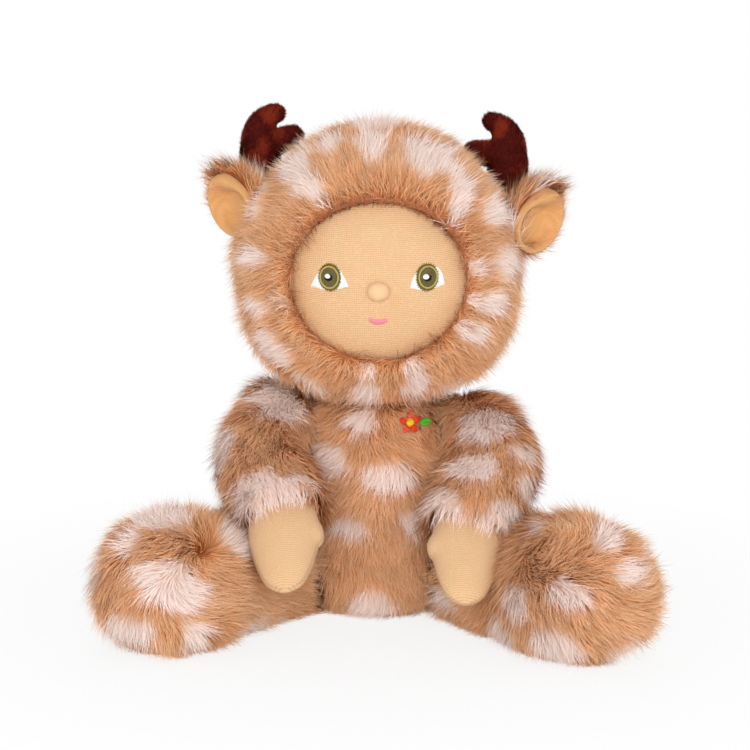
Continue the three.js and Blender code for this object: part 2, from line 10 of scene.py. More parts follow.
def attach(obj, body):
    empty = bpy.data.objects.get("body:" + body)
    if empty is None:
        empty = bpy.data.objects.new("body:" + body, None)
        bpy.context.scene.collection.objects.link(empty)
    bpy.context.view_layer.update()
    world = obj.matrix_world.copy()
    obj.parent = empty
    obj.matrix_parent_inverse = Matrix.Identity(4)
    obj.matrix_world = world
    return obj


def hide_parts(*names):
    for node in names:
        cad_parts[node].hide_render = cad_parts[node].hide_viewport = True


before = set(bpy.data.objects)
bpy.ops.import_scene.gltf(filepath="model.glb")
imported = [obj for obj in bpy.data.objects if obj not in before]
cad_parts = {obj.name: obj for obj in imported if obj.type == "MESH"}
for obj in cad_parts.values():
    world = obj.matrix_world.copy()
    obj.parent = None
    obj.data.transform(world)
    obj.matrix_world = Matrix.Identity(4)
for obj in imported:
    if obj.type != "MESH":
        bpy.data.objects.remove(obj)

bl_info = {
    "name": "Fawn suit doll",
    "version": (1, 0, 0),
    "blender": (4, 5, 0),
    "location": "View3D > Sidebar > Doll",
    "description": "Dresses the packed frame of a seated doll in a fluffy fawn suit",
    "category": "Object",
}

MM = 0.001
UP = np.array([0.0, 0.0, 1.0])
SIDES = {
    "left": {
        "sign": 1, "leg_splay": 30.5, "leg_tuck": 0, "leg_slump": 9, "foot_outward": 0, "arm_splay": 4,
        "wrist_drop": 8.5, "hand_drop": 7.5, "shoulder_fill": 2, "ear_shift": 6, "ear_lift": -4,
        "ear_turn": 42, "ear_lean": 42, "antler_shift": 5, "antler_lift": 0, "tine_tilt": 6,
    },
    "right": {
        "sign": -1, "leg_splay": 32.5, "leg_tuck": 9, "leg_slump": 6, "foot_outward": 8, "arm_splay": 6,
        "wrist_drop": 3, "hand_drop": 2, "shoulder_fill": 11, "ear_shift": 0, "ear_lift": 3,
        "ear_turn": 46, "ear_lean": 45, "antler_shift": 0, "antler_lift": 4, "tine_tilt": 20,
    },
}


# Sizes and colours that a user would change
def length(name, description, default, low=0.0001, high=0.1):
    return FloatProperty(
        name=name, description=description, default=default, min=low, max=high,
        precision=4, unit="LENGTH",
    )


def colour(name, description, default):
    return FloatVectorProperty(
        name=name, description=description, default=default, min=0, max=1, size=3,
        subtype="COLOR_GAMMA",
    )


class DollFur(bpy.types.PropertyGroup):
    strands: FloatProperty(
        name="Strands", description="Strands on a square millimetre", default=4.3, min=0.05, max=8,
    )
    pile: length("Pile length", "Length of the longest strands", 0.0112)
    width: length("Strand width", "Width of a strand at its root", 0.00028)
    lock: length("Lock size", "Distance between the tips of neighbouring locks", 0.0038)
    inset: length("Backing inset", "Depth of the backing cloth under the suit's form", 0.0030)
    seed: IntProperty(name="Seed", description="Seed of every random draw", default=11)
    # From root to tip the strands grow paler: partly their own colour, partly painted shade deep in the
    # pile and painted highlight at the tips
    root: colour("Root", "Fawn strands at their roots", (0.66, 0.35, 0.18))
    middle: colour("Middle", "Fawn strands half way up", (0.87, 0.60, 0.39))
    tip: colour("Tip", "Fawn strands at their tips", (0.96, 0.81, 0.66))
    cream_root: colour("Cream root", "Cream strands at their roots", (0.95, 0.83, 0.76))
    cream_tip: colour("Cream tip", "Cream strands at their tips", (0.99, 0.91, 0.87))
    hem: colour("Hem", "Short rust pile round the face", (0.72, 0.46, 0.31))


class DollKnit(bpy.types.PropertyGroup):
    course: length("Course", "Height of one row of knit", 0.00082)
    wale: length("Wale", "Width of one column of knit", 0.00095)
    skin: colour("Knit", "Peach knit of the face and mittens", (0.885, 0.745, 0.595))
    lining: colour("Lining", "Tan lining of the ears", (0.85, 0.65, 0.44))
    velour: colour("Velour", "Dark velour of the antlers", (0.27, 0.06, 0.045))


class DollThread(bpy.types.PropertyGroup):
    radius: length("Thread radius", "Radius of one embroidery thread", 0.00019)
    white: colour("White", "Whites of the eyes", (0.95, 0.94, 0.93))
    olive: colour("Olive", "Irises", (0.44, 0.385, 0.17))
    hazel: colour("Hazel", "Inner part of each iris", (0.43, 0.385, 0.22))
    gold: colour("Gold", "Ring in each iris", (0.70, 0.64, 0.33))
    dark: colour("Dark", "Pupils", (0.055, 0.04, 0.05))
    pink: colour("Pink", "Mouth", (0.94, 0.56, 0.63))
    petal: colour("Petal", "Petals on the chest", (0.88, 0.25, 0.13))
    yolk: colour("Yolk", "Flower's centre", (0.98, 0.80, 0.15))
    leaf: colour("Leaf", "Leaf on the chest", (0.36, 0.72, 0.22))


class DollStage(bpy.types.PropertyGroup):
    distance: length("Distance", "Camera to the middle of the doll", 1.0, 0.2, 5)
    height: length("Height", "Camera above the floor", 0.267, 0.0, 5)
    pitch: FloatProperty(name="Pitch", description="Degrees that the camera looks down", default=9.2)
    focal: FloatProperty(name="Focal", description="Lens length in millimetres", default=107.4)
    light: FloatProperty(name="Light", description="Strength of the lamps", default=1.0, min=0)


# Node trees, written as nested calls: a value or a socket for each input
def plug(tree, made, inputs):
    for key, value in inputs.items():
        if isinstance(value, bpy.types.NodeSocket):
            tree.links.new(value, made.inputs[key])
        else:
            made.inputs[key].default_value = value
    return made


def add_node(tree, kind, inputs=None, **settings):
    made = tree.nodes.new(kind)
    for key, value in settings.items():
        setattr(made, key, value)
    return plug(tree, made, inputs or {})


def maths(tree, operation, a, b=0.0, c=0.0, clamp=False):
    inputs = {0: a, 1: b, 2: c}
    return add_node(tree, "ShaderNodeMath", inputs, operation=operation, use_clamp=clamp).outputs[0]


def vector(tree, operation, a, b=None, scale=None):
    inputs = {key: value for key, value in ((0, a), (1, b), (3, scale)) if value is not None}
    made = add_node(tree, "ShaderNodeVectorMath", inputs, operation=operation)
    return made.outputs["Value" if operation in ("DOT_PRODUCT", "LENGTH") else "Vector"]


def combine(tree, *parts):
    return add_node(tree, "ShaderNodeCombineXYZ", dict(enumerate(parts))).outputs[0]


def linear(rgb):
    return tuple(c / 12.92 if c <= 0.04045 else ((c + 0.055) / 1.055) ** 2.4 for c in rgb) + (1.0,)


def toned(rgb, share):
    return np.minimum(1, np.array(rgb) * share)


def mix_colour(tree, factor, a, b, blend="MIX"):
    inputs = {0: factor, 6: a, 7: b}
    return add_node(tree, "ShaderNodeMix", inputs, data_type="RGBA", blend_type=blend).outputs[2]


def ramp(tree, factor, stops):
    made = add_node(tree, "ShaderNodeValToRGB", {0: factor})
    points = made.color_ramp.elements
    while len(points) < len(stops):
        points.new(1.0)
    for point, (place, value) in zip(points, stops):
        point.position = place
        point.color = linear(value)
    return made.outputs[0]


def new_group(name, kind, inputs, outputs):
    """Labels lead to a kind of socket, or to the number that an input holds until it is given one."""
    group = bpy.data.node_groups.new(name, kind)
    for way, sockets in (("INPUT", inputs), ("OUTPUT", outputs)):
        for label, given in sockets.items():
            socket = given if isinstance(given, str) else {int: "Int", float: "Float"}[type(given)]
            made = group.interface.new_socket(label, in_out=way, socket_type="NodeSocket" + socket)
            if not isinstance(given, str):
                made.default_value = given
    return group, add_node(group, "NodeGroupInput"), add_node(group, "NodeGroupOutput")


def place_group(tree, name, inputs):
    return add_node(tree, "ShaderNodeGroup", inputs, node_tree=bpy.data.node_groups[name])


def geometry(group, kind, inputs):
    return add_node(group, "GeometryNode" + kind, inputs).outputs[0]


def end_tree(group, outside, real, material):
    real = geometry(group, "SetShadeSmooth", {0: real})
    real = geometry(group, "SetMaterial", {"Geometry": real, "Material": material})
    plug(group, outside, {0: real})


def run_group(made, name, values):
    """Puts a Geometry Nodes modifier on an object and sets its inputs by their identifiers."""
    tree = bpy.data.node_groups[name]
    modifier = made.modifiers.new(name, "NODES")
    modifier.node_group = tree
    for item in tree.interface.items_tree:
        if item.item_type == "SOCKET" and item.in_out == "INPUT" and item.name in values:
            modifier[item.identifier] = values[item.name]


def new_material(name, roughness, **constants):
    """A material with a Principled shader whose plain values are set on its own sockets."""
    material = bpy.data.materials.new(name)
    material.use_nodes = True
    tree = material.node_tree
    shader = tree.nodes["Principled BSDF"]
    plug(tree, shader, {"Roughness": roughness})
    plug(tree, shader, {key.replace("_", " "): value for key, value in constants.items()})
    return tree, shader


def attribute(tree, name):
    return add_node(tree, "ShaderNodeAttribute", attribute_name=name).outputs["Fac"]


def object_place(tree):
    return add_node(tree, "ShaderNodeTexCoord").outputs["Object"]


def mottle(tree, size):
    return place_group(tree, "Cloth mottle", {"Place": object_place(tree), "Size": size}).outputs[0]


def bump(tree, shader, height, strength, distance):
    inputs = {"Height": height, "Strength": strength, "Distance": distance}
    plug(tree, shader, {"Normal": add_node(tree, "ShaderNodeBump", inputs).outputs[0]})


# Shared effects
def knit_group():
    """Rows of small V-shaped loops over flat coordinates given in metres."""
    inputs = {"Flat": "Vector", "Course": 0.001, "Wale": 0.001, "Slant": 0.35}
    group, inside, outside = new_group(
        "Knit loops", "ShaderNodeTree", inputs, {"Height": "Float", "Gap": "Float"}
    )
    flat = add_node(group, "ShaderNodeSeparateXYZ", {0: inside.outputs["Flat"]})
    across = maths(group, "DIVIDE", flat.outputs[0], inside.outputs["Wale"])
    along = maths(group, "DIVIDE", flat.outputs[1], inside.outputs["Course"])
    fold = maths(group, "PINGPONG", across, 0.5)
    slanted = maths(group, "MULTIPLY_ADD", fold, inside.outputs["Slant"], along)
    low = []
    for place, wave in ((slanted, "SINE"), (across, "COSINE")):
        turn = maths(group, wave, maths(group, "MULTIPLY", place, 2 * math.pi))
        low.append(maths(group, "SUBTRACT", 1.0, maths(group, "MULTIPLY_ADD", turn, 0.5, 0.5)))
    gap = maths(group, "MULTIPLY", low[0], maths(group, "MULTIPLY_ADD", low[1], 0.5, 0.5))
    plug(group, outside, {"Height": maths(group, "SUBTRACT", 1.0, gap, clamp=True), "Gap": gap})


def mottle_group():
    """A soft change of shade over the cloth, from 0 to 1."""
    group, inside, outside = new_group(
        "Cloth mottle", "ShaderNodeTree", {"Place": "Vector", "Size": 0.01}, {"Shade": "Float"}
    )
    scale = maths(group, "DIVIDE", 1.0, inside.outputs["Size"])
    inputs = {"Vector": inside.outputs["Place"], "Scale": scale, "Detail": 3.0, "Roughness": 0.6}
    plug(group, outside, {"Shade": add_node(group, "ShaderNodeTexNoise", inputs).outputs["Fac"]})


def strand_material(name, fawn, pale):
    """Colour runs up each strand, from a darker, redder root to a paler tip: partly the fur's own
    colour, partly painted shade deep in the pile and painted highlight at the tips. It turns to the
    pale one where the spots are, and on the antlers where painted light falls.
    """
    tree, shader = new_material(name, 0.75, Specular_IOR_Level=0.06)
    along, cream_and_lit = attribute(tree, "along"), attribute(tree, "cream_and_lit")
    fawn = ramp(tree, along, list(zip((0.0, 0.45, 1.0), fawn)))
    pale = ramp(tree, along, list(zip((0.0, 0.4), pale)))
    spread = maths(tree, "MULTIPLY_ADD", cream_and_lit, -0.34, 0.58)
    vary = maths(tree, "SUBTRACT", attribute(tree, "vary"), 0.48)
    shade = maths(tree, "MULTIPLY_ADD", vary, spread, 1.0)
    grey = add_node(tree, "ShaderNodeCombineColor", {0: shade, 1: shade, 2: shade}).outputs[0]
    mixed = mix_colour(tree, cream_and_lit, fawn, pale)
    plug(tree, shader, {"Base Color": mix_colour(tree, 1.0, mixed, grey, "MULTIPLY")})


def cloth_material(name, dark, pale, size, roughness, **constants):
    """Cloth whose shade wanders between two colours."""
    tree, shader = new_material(name, roughness, **constants)
    shade = mottle(tree, size)
    base = mix_colour(tree, shade, linear(dark), linear(pale))
    plug(tree, shader, {"Base Color": base})
    return tree, shader, shade, base


def plain_materials(fur, thread):
    """The backing cloth, the embroidery threads, the filling and the moulded joints."""
    # Painted shade: the backing runs from the roots' colour down to a darker tone, so the gaps between
    # strands look like deep, shaded pile. It takes the cream where the spots are.
    tree, shader, shade, base = cloth_material(
        "fur_backing", toned(fur.root, 0.75), fur.root, 0.004, 0.95, Specular_IOR_Level=0.1
    )
    spotted = mix_colour(tree, attribute(tree, "cream_and_lit"), base, linear(fur.cream_root))
    plug(tree, shader, {"Base Color": spotted})
    bump(tree, shader, shade, 0.6, 0.001)
    for name in ("white", "olive", "hazel", "gold", "dark", "pink", "petal", "yolk", "leaf"):
        base = getattr(thread, name)
        cloth_material(
            name + "_embroidery", toned(base, 0.86), toned(base, 1.08), 0.0009, 0.5,
            Specular_IOR_Level=0.22,
        )
    tree, shader, shade, _ = cloth_material(
        "loose_filling", (0.86, 0.85, 0.82), (0.97, 0.96, 0.94), 0.003, 0.95, Sheen_Weight=0.3
    )
    bump(tree, shader, shade, 0.8, 0.002)
    tree, shader, shade, _ = cloth_material(
        "moulded_joint", (0.88, 0.87, 0.83), (0.93, 0.92, 0.89), 0.002, 0.4
    )
    plug(tree, shader, {"Roughness": maths(tree, "MULTIPLY_ADD", shade, 0.15, 0.35)})


def knit_material(name, base, flat_from, wale, course, patch=0.02, depth=0.95, drift=0.0035):
    """Fine knit. flat_from is the UV map that it follows, or None for the front view's X and Z."""
    tree, shader = new_material(
        name, 0.85, Specular_IOR_Level=0.15, Sheen_Weight=0.1, Sheen_Roughness=0.5
    )
    place = object_place(tree)
    if flat_from:
        flat = add_node(tree, "ShaderNodeUVMap", uv_map=flat_from).outputs[0]
    else:
        split = add_node(tree, "ShaderNodeSeparateXYZ", {0: place})
        flat = combine(tree, split.outputs[0], split.outputs[2])
    uneven = add_node(tree, "ShaderNodeTexNoise", {"Vector": place, "Scale": 38.0, "Detail": 2.0})
    flat = vector(tree, "ADD", flat, vector(tree, "SCALE", uneven.outputs["Color"], scale=drift))
    loops = place_group(tree, "Knit loops", {"Flat": flat, "Course": course, "Wale": wale})
    light, warm = linear(toned(base, 1.02)), linear(toned(base, (0.97, 0.93, 0.86)))
    body = mix_colour(tree, mottle(tree, patch), light, warm)
    # Painted shade: the gaps between loops take a darker, warmer tone, as if shaded by the loops round
    # them; depth sets how strong it is.
    deep = linear(toned(base, (0.80, 0.72, 0.62)))
    grain = add_node(tree, "ShaderNodeTexNoise", {"Vector": place, "Scale": 1300.0, "Detail": 1.0})
    grain = maths(tree, "SUBTRACT", grain.outputs["Fac"], 0.5)
    grain = maths(tree, "MULTIPLY_ADD", grain, 4.0, 1.0, clamp=True)
    factor = maths(tree, "MULTIPLY", maths(tree, "POWER", loops.outputs["Gap"], 1.3), depth)
    factor = maths(tree, "MULTIPLY", factor, grain)
    plug(tree, shader, {"Base Color": mix_colour(tree, factor, body, deep)})
    bump(tree, shader, loops.outputs["Height"], 0.4, 0.00022)


def velour_material(name, base, rim):
    """Short dense pile that catches light at its edges through its sheen, with painted sheen and
    painted shade in its base colour too.
    """
    tree, shader = new_material(
        name, 0.8, Specular_IOR_Level=0.1, Sheen_Weight=0.5, Sheen_Roughness=0.35,
        Sheen_Tint=linear(rim),
    )
    fine = mottle(tree, 0.0011)
    # Painted light and shade: random sweeps run from a darker tone to one mixed with the rim's sheen
    # colour, and fine specks of the rim colour are painted sheen.
    sheen_lit_tone = toned(base, 0.55) + toned(rim, 0.45)
    painted_sheen_sweeps = ramp(tree, mottle(tree, 0.009), ((0.35, toned(base, 0.7)), (0.52, base), (0.7, sheen_lit_tone)))
    painted_sheen_specks = mix_colour(tree, maths(tree, "MULTIPLY", fine, 0.35), painted_sheen_sweeps, linear(rim))
    plug(tree, shader, {"Base Color": painted_sheen_specks})
    bump(tree, shader, fine, 0.8, 0.0006)


# Forms, in metres
def unit(v):
    return v / np.maximum(np.linalg.norm(v, axis=-1, keepdims=True), 1e-12)


def circle(count):
    return np.linspace(0, 2 * math.pi, count, endpoint=False)


def gauss(distance, spread):
    return np.exp(-((distance / spread) ** 2))


def along_line(at, run, line):
    return np.stack([np.interp(at, run, line[:, k]) for k in range(line.shape[1])], axis=1)


def smooth_through(points, count):
    """Points on a smooth line through those given, spread evenly along it."""
    points = np.asarray(points, float)
    padded = np.vstack([2 * points[0] - points[1], points, 2 * points[-1] - points[-2]])
    line = []
    for i in range(1, len(padded) - 2):
        a, b, c, d = padded[i - 1 : i + 3]
        for t in np.linspace(0, 1, 24, endpoint=False):
            line.append(
                0.5 * (2 * b + (c - a) * t + (2 * a - 5 * b + 4 * c - d) * t**2
                       + (3 * b - a - 3 * c + d) * t**3)
            )
    line = np.array(line + [points[-1]])
    run = np.r_[0, np.cumsum(np.linalg.norm(np.diff(line, axis=0), axis=1))]
    return along_line(np.linspace(0, run[-1], count), run, line)


def grid_mesh(rings, closed_start=True, closed_end=True):
    """Vertices and faces of rings of equally many points, with poles at closed ends."""
    count = len(rings[0])
    verts = [p for ring in rings for p in ring]
    faces = []
    for r in range(len(rings) - 1):
        for i in range(count):
            j = (i + 1) % count
            faces.append((r * count + i, r * count + j, (r + 1) * count + j, (r + 1) * count + i))
    if closed_start:
        verts.append(np.mean(rings[0], axis=0))
        faces += [(len(verts) - 1, (i + 1) % count, i) for i in range(count)]
    if closed_end:
        base = (len(rings) - 1) * count
        verts.append(np.mean(rings[-1], axis=0))
        faces += [(len(verts) - 1, base + i, base + (i + 1) % count) for i in range(count)]
    return np.array(verts), faces


def limb(path, shares, across, half_width, half_thickness, sides, steps, end=1.0):
    """A stuffed limb. shares gives [share of the length, share of the radii]."""
    line = smooth_through(path, LINE_POINTS)
    outline = smooth_through(shares, 2 * LINE_POINTS)
    at = end * (0.5 - 0.5 * np.cos(np.linspace(0, math.pi, steps)))
    at[0] += TIP_INSET if outline[0, 1] <= 0 else 0
    at[-1] -= TIP_INSET if outline[-1, 1] <= 0 and end == 1 else 0
    radius = np.maximum(np.interp(at, outline[:, 0], outline[:, 1]), 0.02)
    run = np.arange(LINE_POINTS)
    at = at * (LINE_POINTS - 1)
    places = along_line(at, run, line)
    heading = unit(along_line(at, run, unit(np.gradient(line, axis=0))))
    angle = circle(sides)[:, None]
    rings = []
    for place, ahead, r in zip(places, heading, radius):
        up = unit(np.cross(ahead, across))
        side = np.cross(up, ahead)
        section = half_width * np.cos(angle) * side + half_thickness * np.sin(angle) * up
        rings.append(place + r * section)
    return grid_mesh(rings)


def off_axis(places, point, axis):
    """How far places lie along an axis, and which way and how far they lie from it."""
    away = places - point
    run = away @ axis
    away = away - run[:, None] * axis
    return run, away, np.linalg.norm(away, axis=1)


def press(verts, point, axis, reach, level):
    """Lays flat what passes a level along an axis, within reach of it."""
    depth, _, ring = off_axis(verts, point, axis)
    ease = np.clip((reach - ring) / (4 * MM), 0, 1)
    return verts + (np.clip(level - depth, 0, None) * ease)[:, None] * axis


def add_object(name, data):
    made = bpy.data.objects.new(name, data)
    bpy.context.scene.collection.objects.link(made)
    return made


def tidy_mesh(mesh, merge=None):
    """Joins doubled corners where asked to, and turns all faces outward."""
    work = bmesh.new()
    work.from_mesh(mesh)
    if merge:
        bmesh.ops.remove_doubles(work, verts=work.verts, dist=merge)
    bmesh.ops.recalc_face_normals(work, faces=work.faces)
    work.to_mesh(mesh)
    work.free()


def make_object(name, verts, faces, material):
    mesh = bpy.data.meshes.new(name)
    mesh.from_pydata([tuple(v) for v in verts], [], [tuple(f) for f in faces])
    mesh.validate()
    made = add_object(name, mesh)
    tidy_mesh(mesh)
    mesh.shade_smooth()
    mesh.materials.append(bpy.data.materials[material])
    return made


def read(items, key, width=1, kind=np.float32):
    got = np.zeros(len(items) * width, kind)
    items.foreach_get(key, got)
    return got.reshape(-1, width) if width > 1 else got


def write(items, key, values, kind=np.float32):
    items.foreach_set(key, np.asarray(values).astype(kind).ravel())


def vertex_places(made):
    return read(made.data.vertices, "co", 3).astype(float)


def vertex_normals(made):
    return read(made.data.vertex_normals, "vector", 3).astype(float)


def store(mesh, name, values, kind="FLOAT"):
    layer = mesh.attributes.new(name, kind, "POINT")
    write(layer.data, "vector" if kind == "FLOAT_VECTOR" else "value", values)


def evaluated_mesh(made):
    return bpy.data.meshes.new_from_object(made.evaluated_get(bpy.context.evaluated_depsgraph_get()))


def apply_modifiers(made):
    """The evaluated mesh takes the place of the object's own, and no modifier stays."""
    mesh = evaluated_mesh(made)
    made.modifiers.clear()
    made.data = mesh


def add_wall(made, thickness):
    wall = made.modifiers.new("wall", "SOLIDIFY")
    wall.thickness = thickness
    wall.offset = -1


def finish_piece(made, body, nodes=()):
    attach(made, body)
    if nodes:
        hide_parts(*nodes)
    return made


# Where the doll's forms stand
HEAD_CENTRE = np.array([0, -2, 157.0]) * MM
HEAD_HALF = np.array([62, 57, 60.5]) * MM
FACE_Z = 153.0 * MM
FACE_HALF = np.array([38, 34]) * MM
HEM_RADIUS = 2.8 * MM
FUR_WALL = 5.2 * MM
GAP = 0.3 * MM
NECK = 98.0 * MM
TORSO_WIDE = 38.0 * MM
TORSO_HALF = 37.0 * MM
TORSO_TOP = 104.0 * MM
TORSO_POWERS = (4.8, 2.6)
FILLING_INSET = 6.5 * MM
ARM_PRESS = 34 * MM
LEG_PRESS = 31 * MM
SLEEVE_RADIUS = 18 * MM
ARM_FILLING = 11.5 * MM
MITTEN = (15.8 * MM, 9 * MM)
THUMB = (6.2 * MM, 5.4 * MM)
LEG_RADIUS = 29 * MM
BEAM_RADIUS = 8.8 * MM
TINE_RADIUS = 5 * MM
LINING_RADIUS = 9 * MM
NOSE_HALF = np.array([4.9, 4.2, 4.3]) * MM
# Across and up from the middle of the face to the middle of an eye, in millimetres
EYE = (20.8, 2.5)
# Finest parts of the two kinds of welded skins
VOXEL = 0.9 * MM
FILLING_VOXEL = 1.6 * MM
# How finely the lines of limbs are sampled, and how far a closed end stops short, as a share
LINE_POINTS = 200
TIP_INSET = 0.0015


def head_radius(direction, inset):
    half = HEAD_HALF - inset
    d = unit(direction)
    level = np.hypot(d[..., 0] / half[0], d[..., 1] / half[1])
    rise = np.abs(d[..., 2]) / half[2]
    power = np.where(d[..., 2] < 0, 2.5, 2.0)
    return (level**power + rise**power) ** (-1 / power)


def head_front(x, z, inset):
    """The head's surface in front of a place in the face."""
    half = HEAD_HALF - inset
    level = (z - HEAD_CENTRE[2]) / half[2]
    power = np.where(level < 0, 2.5, 2.0)
    share = np.maximum(1 - np.abs(level) ** power, 1e-6) ** (1 / power)
    across = np.clip(x / (half[0] * share), -0.999, 0.999)
    return HEAD_CENTRE[1] - half[1] * share * np.sqrt(1 - across**2)


def torso_front(x, z, inset):
    level = (z - TORSO_WIDE) / (TORSO_TOP - TORSO_WIDE - inset)
    power = TORSO_POWERS[1]
    share = np.maximum(1 - np.abs(level) ** power, 1e-6) ** (1 / power)
    across = np.clip(x / ((TORSO_HALF - inset) * share), -0.999, 0.999)
    return -(TORSO_HALF - inset) * share * np.sqrt(1 - across**2)


def side_frame(side, kind):
    facts = SIDES[side]
    turn = math.radians(facts["leg_splay" if kind == "hip" else "arm_splay"])
    sign = facts["sign"]
    axis = np.array([sign * math.cos(turn), math.sin(turn), 0])
    heading = np.array([sign * math.sin(turn), -math.cos(turn), 0])
    if kind == "hip":
        point = np.array([sign * 21, -12, 24]) * MM
        root = point + axis * 17 * MM
    else:
        point = np.array([sign * 28.5, 0, 78]) * MM
        root = point + axis * 12 * MM
    return {"point": point, "axis": axis, "heading": heading, "root": root}


# Fur: a backing cloth, and strands scattered over it
def strand_tree():
    """Scatters flat tapering strands, combed by the backing's own direction and gathered in locks."""
    inputs = {
        "Geometry": "Geometry", "Strands per area": 1e6, "Length": 0.015, "Width": 0.0005,
        "Rise": 0.4, "Lock size": 0.008, "Gather": 0.6, "Stray": 0.25, "Floor": 0.0004, "Seed": 1,
        "Material": "Material",
    }
    group, inside, outside = new_group(
        "Combed pile", "GeometryNodeTree", inputs, {"Geometry": "Geometry"}
    )
    given = inside.outputs

    def times(a, b):
        return maths(group, "MULTIPLY", a, b)

    def multiply_add(a, b, c):
        return maths(group, "MULTIPLY_ADD", a, b, c)

    def rest_of(a):
        return maths(group, "SUBTRACT", 1.0, a)

    def power(a, b):
        return maths(group, "POWER", a, b)

    def plus(a, b):
        return vector(group, "ADD", a, b)

    def scaled(a, by):
        return vector(group, "SCALE", a, scale=by)

    def split(a):
        return add_node(group, "ShaderNodeSeparateXYZ", {0: a}).outputs

    def step(kind, inputs):
        return geometry(group, kind, inputs)

    def named(name, kind="FLOAT"):
        made = add_node(group, "GeometryNodeInputNamedAttribute", {0: name}, data_type=kind)
        return next(o for o in made.outputs if o.name == "Attribute" and o.enabled)

    def direction(name):
        return named(name, "FLOAT_VECTOR")

    def keep(geometry, name, value, kind="FLOAT"):
        made = add_node(
            group, "GeometryNodeStoreNamedAttribute", {"Geometry": geometry, "Name": name},
            data_type=kind, domain="POINT",
        )
        socket = next(i for i in made.inputs if i.name == "Value" and i.enabled)
        group.links.new(value, socket)
        return made.outputs[0]

    def chance(offset, kind="FLOAT"):
        made = add_node(group, "FunctionNodeRandomValue", data_type=kind)
        if kind == "FLOAT_VECTOR":
            plug(group, made, {0: (-1, -1, -1), 1: (1, 1, 1)})
        plug(group, made, {"Seed": maths(group, "ADD", given["Seed"], offset)})
        return next(o for o in made.outputs if o.enabled)

    # Roots, with all that a strand has to know stored on them
    density = times(given["Strands per area"], named("cover"))
    scattered = add_node(
        group, "GeometryNodeDistributePointsOnFaces",
        {"Mesh": given["Geometry"], "Density": density, "Seed": given["Seed"]},
        distribute_method="RANDOM",
    )
    place = add_node(group, "GeometryNodeInputPosition").outputs[0]
    points = keep(scattered.outputs["Points"], "root", place, "FLOAT_VECTOR")
    points = keep(points, "up", scattered.outputs["Normal"], "FLOAT_VECTOR")
    waves = add_node(group, "ShaderNodeTexNoise", {"Vector": place, "Scale": 55.0, "Detail": 2.0})
    wave = vector(group, "SUBTRACT", waves.outputs["Color"], (0.5, 0.5, 0.5))
    flow = plus(direction("comb"), scaled(wave, 1.5))
    flow = plus(flow, scaled(chance(5, "FLOAT_VECTOR"), given["Stray"]))
    points = keep(points, "flow", vector(group, "NORMALIZE", flow), "FLOAT_VECTOR")
    scale = maths(group, "DIVIDE", 1.0, given["Lock size"])
    cells = add_node(group, "ShaderNodeTexVoronoi", {"Vector": place, "Scale": scale})
    lock = vector(group, "SUBTRACT", cells.outputs["Position"], place)
    depth = vector(group, "DOT_PRODUCT", lock, direction("up"))
    lock = plus(lock, scaled(direction("up"), times(depth, -1.0)))
    points = keep(points, "lock", lock, "FLOAT_VECTOR")
    tuft = split(cells.outputs["Color"])[0]
    points = keep(points, "vary", multiply_add(tuft, 0.4, times(chance(1), 0.6)))
    points = keep(points, "reach", chance(2))
    points = keep(points, "roll", chance(3))

    # One flat blade that tapers to a point, copied to every root
    blade = step("MeshGrid", {"Size X": 1.0, "Size Y": 1.0, "Vertices X": 2, "Vertices Y": 3})
    corner = split(place)
    height = maths(group, "ADD", corner[1], 0.5)
    narrow = combine(group, times(corner[0], rest_of(power(height, 2.0))), corner[1])
    blade = step("SetPosition", {"Geometry": blade, "Position": narrow})
    blade = step("MergeByDistance", {"Geometry": blade, "Distance": 0.001})
    blade = keep(blade, "along", height)
    blade = keep(blade, "aside", corner[0])
    real = step("InstanceOnPoints", {"Points": points, "Instance": blade})
    real = step("RealizeInstances", {0: real})

    # Each corner is moved out from its root: up, along the flow, toward its lock and aside
    along, up, run, lean = named("along"), direction("up"), direction("flow"), named("lean")
    size = times(given["Length"], named("stretch"))
    size = times(size, multiply_add(named("reach"), 0.45, 0.65))
    arch = rest_of(power(rest_of(along), 2.2))
    upright = multiply_add(rest_of(lean), 0.6, given["Rise"])
    rise = times(times(arch, upright), size)
    ahead = times(times(power(along, 1.35), size), lean)
    moved = plus(plus(direction("root"), scaled(up, rise)), scaled(run, ahead))
    pull = times(power(along, 1.6), given["Gather"])
    moved = plus(moved, scaled(direction("lock"), pull))
    flat = vector(group, "NORMALIZE", vector(group, "CROSS_PRODUCT", run, up))
    turn = multiply_add(named("roll"), 2.0, -1.0)
    face = plus(scaled(flat, maths(group, "COSINE", turn)), scaled(up, maths(group, "SINE", turn)))
    moved = plus(moved, scaled(face, times(named("aside"), given["Width"])))
    parts = split(moved)
    moved = combine(group, parts[0], parts[1], maths(group, "MAXIMUM", parts[2], given["Floor"]))
    real = step("SetPosition", {"Geometry": real, "Position": moved})
    end_tree(group, outside, real, given["Material"])


BLADE_CORNERS = 5
MOST_STRANDS = 60000


def grow_pile(backing, name, body, material, density, size, width, rise, lock, gather, stray, seed,
              slot="fawn_fur", tilt=0.0):
    """Runs the strand tree over the backing. The result stays as plain meshes."""
    grown = add_object("growing", backing.data.copy())
    values = {
        "Strands per area": density, "Length": size, "Width": width, "Rise": rise, "Lock size": lock,
        "Gather": gather, "Stray": stray, "Seed": seed, "Material": bpy.data.materials[material],
    }
    run_group(grown, "Combed pile", values)
    mesh = evaluated_mesh(grown)
    bpy.data.objects.remove(grown)
    split_pile(mesh, name, body, material, tilt)


